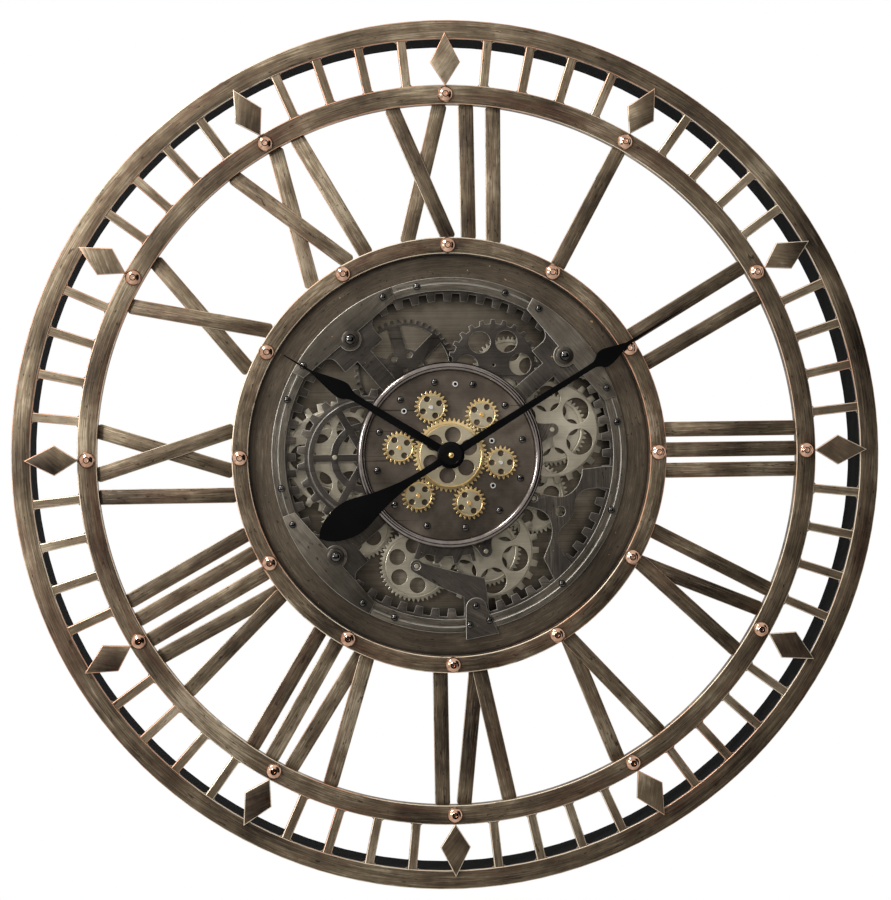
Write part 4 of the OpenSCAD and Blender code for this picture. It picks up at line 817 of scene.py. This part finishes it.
disc_wire()
rivets("small_rivets", "chrome")
large_rivets()
disc_eyelets()

# Gears. Faces that reach past a gear's groove take the golden material, and its pin a third one

# A level past every face, for a gear without a pin, and the planets whose pins are silver
NO_PIN, SILVER_PINS = 99, (0, 2)


def gear_zones(centre, groove_r, pin_front):
    """Returns a function that picks a face's material by its distance from the gear's axis and its level."""
    past_pin, below_pin, past_groove = 0.05, 0.6, 0.2
    cx, cz = centre[0] * MM, centre[1] * MM

    def choose(face):
        far = max(math.hypot(v.co.x - cx, v.co.z - cz) for v in face.verts)
        front = max(-v.co.y for v in face.verts)
        if far < (PIN_R + past_pin) * MM and front > (pin_front - below_pin) * MM:
            return 2
        return 1 if far > (groove_r + past_groove) * MM else 0

    return choose


def planet_centre(index):
    turn = math.radians(FIRST_PLANET + PLANET_STEP * index)
    distance = MODULE * (SUN_TEETH + PLANET_TEETH) / 2
    return distance * math.sin(turn), distance * math.cos(turn)


dress("sun_gear", ["brass_face", "brass"], 0.2, choose=gear_zones((0, 0), SUN_GROOVE_R, NO_PIN), grain=False)
dress("sun_tube", ["brass_face"], 0.2, grain=False)
for index in range(6):
    pin = "silver" if index in SILVER_PINS else "pin"
    dress(f"planet_gear_{index + 1}", ["brass_face", "brass", pin], 0.18,
          choose=gear_zones(planet_centre(index), PLANET_GROOVE_R, PIN_FRONT), grain=False)
dress("motor_pinion", ["brass"], 0.15, grain=False)
for index in range(1, 8):
    dress(f"train_wheel_{index}", ["champagne"], 0.22, grain=False)

# Movement, cells and controls at the back

for node, mat in (("movement_case", "plastic"), ("battery_box", "plastic"), ("battery_door", "plastic"),
                  ("switch_slider", "plastic"), ("set_knob", "plastic"), ("drive_motor", "zinc"),
                  ("threaded_bush", "pin"), ("cells", "jacket")):
    dress(node, [mat], 0.2, grain=False)

# Hands

for node in ("hour_hand", "minute_hand"):
    dress(node, ["hand"], 0.3, grain=False)


def hub_cap():
    """The raised round boss of the minute hand, round the nut."""
    foot_r, crown_r, crown_in_r, well_r, bore_r = 12.3, 11.7, 8.5, 8.1, 3.4
    sunk, side, shoulder, crown, well = 0.3, 0.1, 0.4, 0.5, 0.2
    front = solids_of("minute_hand")[0]["front"]
    profile = [(foot_r, front - sunk), (foot_r, front + side), (crown_r, front + shoulder),
               (crown_in_r, front + crown), (well_r, front + well), (bore_r, front + well)]
    bm = bmesh.new()
    lathe(bm, (0, 0), profile, steps=64)
    stands_for(finish_mesh("hub_cap", bm, ["hub"], sharp=30), "minute_hand", stands_in=False)


hub_cap()
rivets("hand_nut", "pin", foot=0.0)

# Camera, light and floor. The fit to the photograph gave the camera's place and turn

FOCAL_PX, FRAME_PX = 2178.6, 900
camera = placed("camera", bpy.data.cameras.new("camera"))
camera.location = (-0.13, -2.05, 0.018)
yaw, pitch, roll = 0.0628, -0.0066, 0.0138
camera.rotation_mode = "QUATERNION"
look = Vector((math.sin(yaw) * math.cos(pitch), math.cos(yaw) * math.cos(pitch), math.sin(pitch)))
camera.rotation_quaternion = (Matrix.Rotation(roll, 3, look).to_quaternion()
                              @ look.to_track_quat("-Z", "Y"))
camera.data.sensor_width = 36
camera.data.lens = camera.data.sensor_width * FOCAL_PX / FRAME_PX
camera.data.clip_start, camera.data.clip_end = 0.05, 50
bpy.context.scene.camera = camera


def lamp(name, at, target, size, power, colour=(1, 1, 1)):
    """A round lamp, of a size in metres and a power in watts."""
    light = bpy.data.lights.new(name, "AREA")
    light.shape, light.size, light.energy, light.color = "DISK", size, power, colour
    obj = placed(name, light)
    obj.location = at
    obj.rotation_mode = "QUATERNION"
    obj.rotation_quaternion = (Vector(target) - Vector(at)).to_track_quat("-Z", "Y")


lamp("key", at=(-1.25, -1.15, 1.65), target=(0, 0, 0), size=0.4, power=41)
lamp("sheen", at=(-1.65, -1.75, 0.35), target=(-0.1, 0, 0.1), size=0.45, power=26,
     colour=(0.92, 0.96, 1.0))


def sheet(name, corners, mat):
    """A flat card; its four corners are in metres."""
    mesh = bpy.data.meshes.new(name)
    mesh.from_pydata(corners, [], [(0, 1, 2, 3)])
    mesh.materials.append(mat)
    return placed(name, mesh)


def flag(name, corners):
    """A dark card that only reflections see; it gives the polished metal its contrast."""
    card = sheet(name, corners, MATS["flag"])
    card.visible_camera = card.visible_diffuse = card.visible_shadow = False
    card.visible_transmission = card.visible_volume_scatter = False


# Both flags slope from far in front of the clock to nearer it, one beside the camera and one below it
FAR_Y, NEAR_Y, FLAG_REACH = -2.7, -1.2, 2.2
RIGHT_FAR_X, RIGHT_NEAR_X = 0.95, 3.2
LOW_FAR_Z, LOW_NEAR_Z = -0.20, -2.8
flag("flag_right", [(RIGHT_FAR_X, FAR_Y, -FLAG_REACH), (RIGHT_NEAR_X, NEAR_Y, -FLAG_REACH),
                    (RIGHT_NEAR_X, NEAR_Y, FLAG_REACH), (RIGHT_FAR_X, FAR_Y, FLAG_REACH)])
flag("flag_low", [(-FLAG_REACH, FAR_Y, LOW_FAR_Z), (FLAG_REACH, FAR_Y, LOW_FAR_Z),
                  (FLAG_REACH, NEAR_Y, LOW_NEAR_Z), (-FLAG_REACH, NEAR_Y, LOW_NEAR_Z)])

WHITE = (1, 1, 1, 1)
WORLD_LIGHT, WORLD_SEEN, FLOOR_GLOW = 0.22, 1.0, 0.18


def seen_rays(tree):
    """1 for a ray from the camera, a reflection or glass, and 0 for the light that a surface scatters."""
    rays = tree.nodes.new("ShaderNodeLightPath")
    seen = rays.outputs["Is Camera Ray"]
    for name in ("Is Glossy Ray", "Is Transmission Ray"):
        either = tree.nodes.new("ShaderNodeMath")
        either.operation = "MAXIMUM"
        tree.links.new(seen, either.inputs[0])
        tree.links.new(rays.outputs[name], either.inputs[1])
        seen = either.outputs[0]
    return seen


def studio():
    """A white world that lights the clock dimly, and is bright where it is seen or reflected."""
    world = bpy.data.worlds.new("studio")
    bpy.context.scene.world = world
    world.use_nodes = True
    tree = world.node_tree
    background = next(n for n in tree.nodes if n.type == "BACKGROUND")
    level = tree.nodes.new("ShaderNodeMapRange")
    tree.links.new(seen_rays(tree), level.inputs[VALUE])
    level.inputs[TO_MIN].default_value = WORLD_LIGHT
    level.inputs[TO_MAX].default_value = WORLD_SEEN
    tree.links.new(level.outputs[0], background.inputs["Strength"])
    background.inputs["Color"].default_value = WHITE


def pale_floor():
    """Pale matt floor that the camera sees a little lighter than the lamps make it, with its shadow kept."""
    mat = plain("floor_pale", [rgb(232, 231, 229), rgb(238, 237, 235)], 0.6, grain_scale=40.0, bump=0.02)
    nodes, links = mat.node_tree.nodes, mat.node_tree.links
    glow = nodes.new("ShaderNodeMath")
    glow.operation = "MULTIPLY"
    links.new(seen_rays(mat.node_tree), glow.inputs[0])
    glow.inputs[1].default_value = FLOOR_GLOW
    bsdf = next(n for n in nodes if n.type == "BSDF_PRINCIPLED")
    bsdf.inputs["Emission Color"].default_value = WHITE
    links.new(glow.outputs[0], bsdf.inputs["Emission Strength"])
    return mat


studio()
FLOOR_Z, FLOOR_X, FLOOR_FRONT_Y, FLOOR_BACK_Y = -1.15, 2.5, -2.6, 0.5
floor = sheet("floor", [(-FLOOR_X, FLOOR_FRONT_Y, FLOOR_Z), (FLOOR_X, FLOOR_FRONT_Y, FLOOR_Z),
                        (FLOOR_X, FLOOR_BACK_Y, FLOOR_Z), (-FLOOR_X, FLOOR_BACK_Y, FLOOR_Z)],
              pale_floor())

bpy.context.scene.view_settings.view_transform = "Standard"
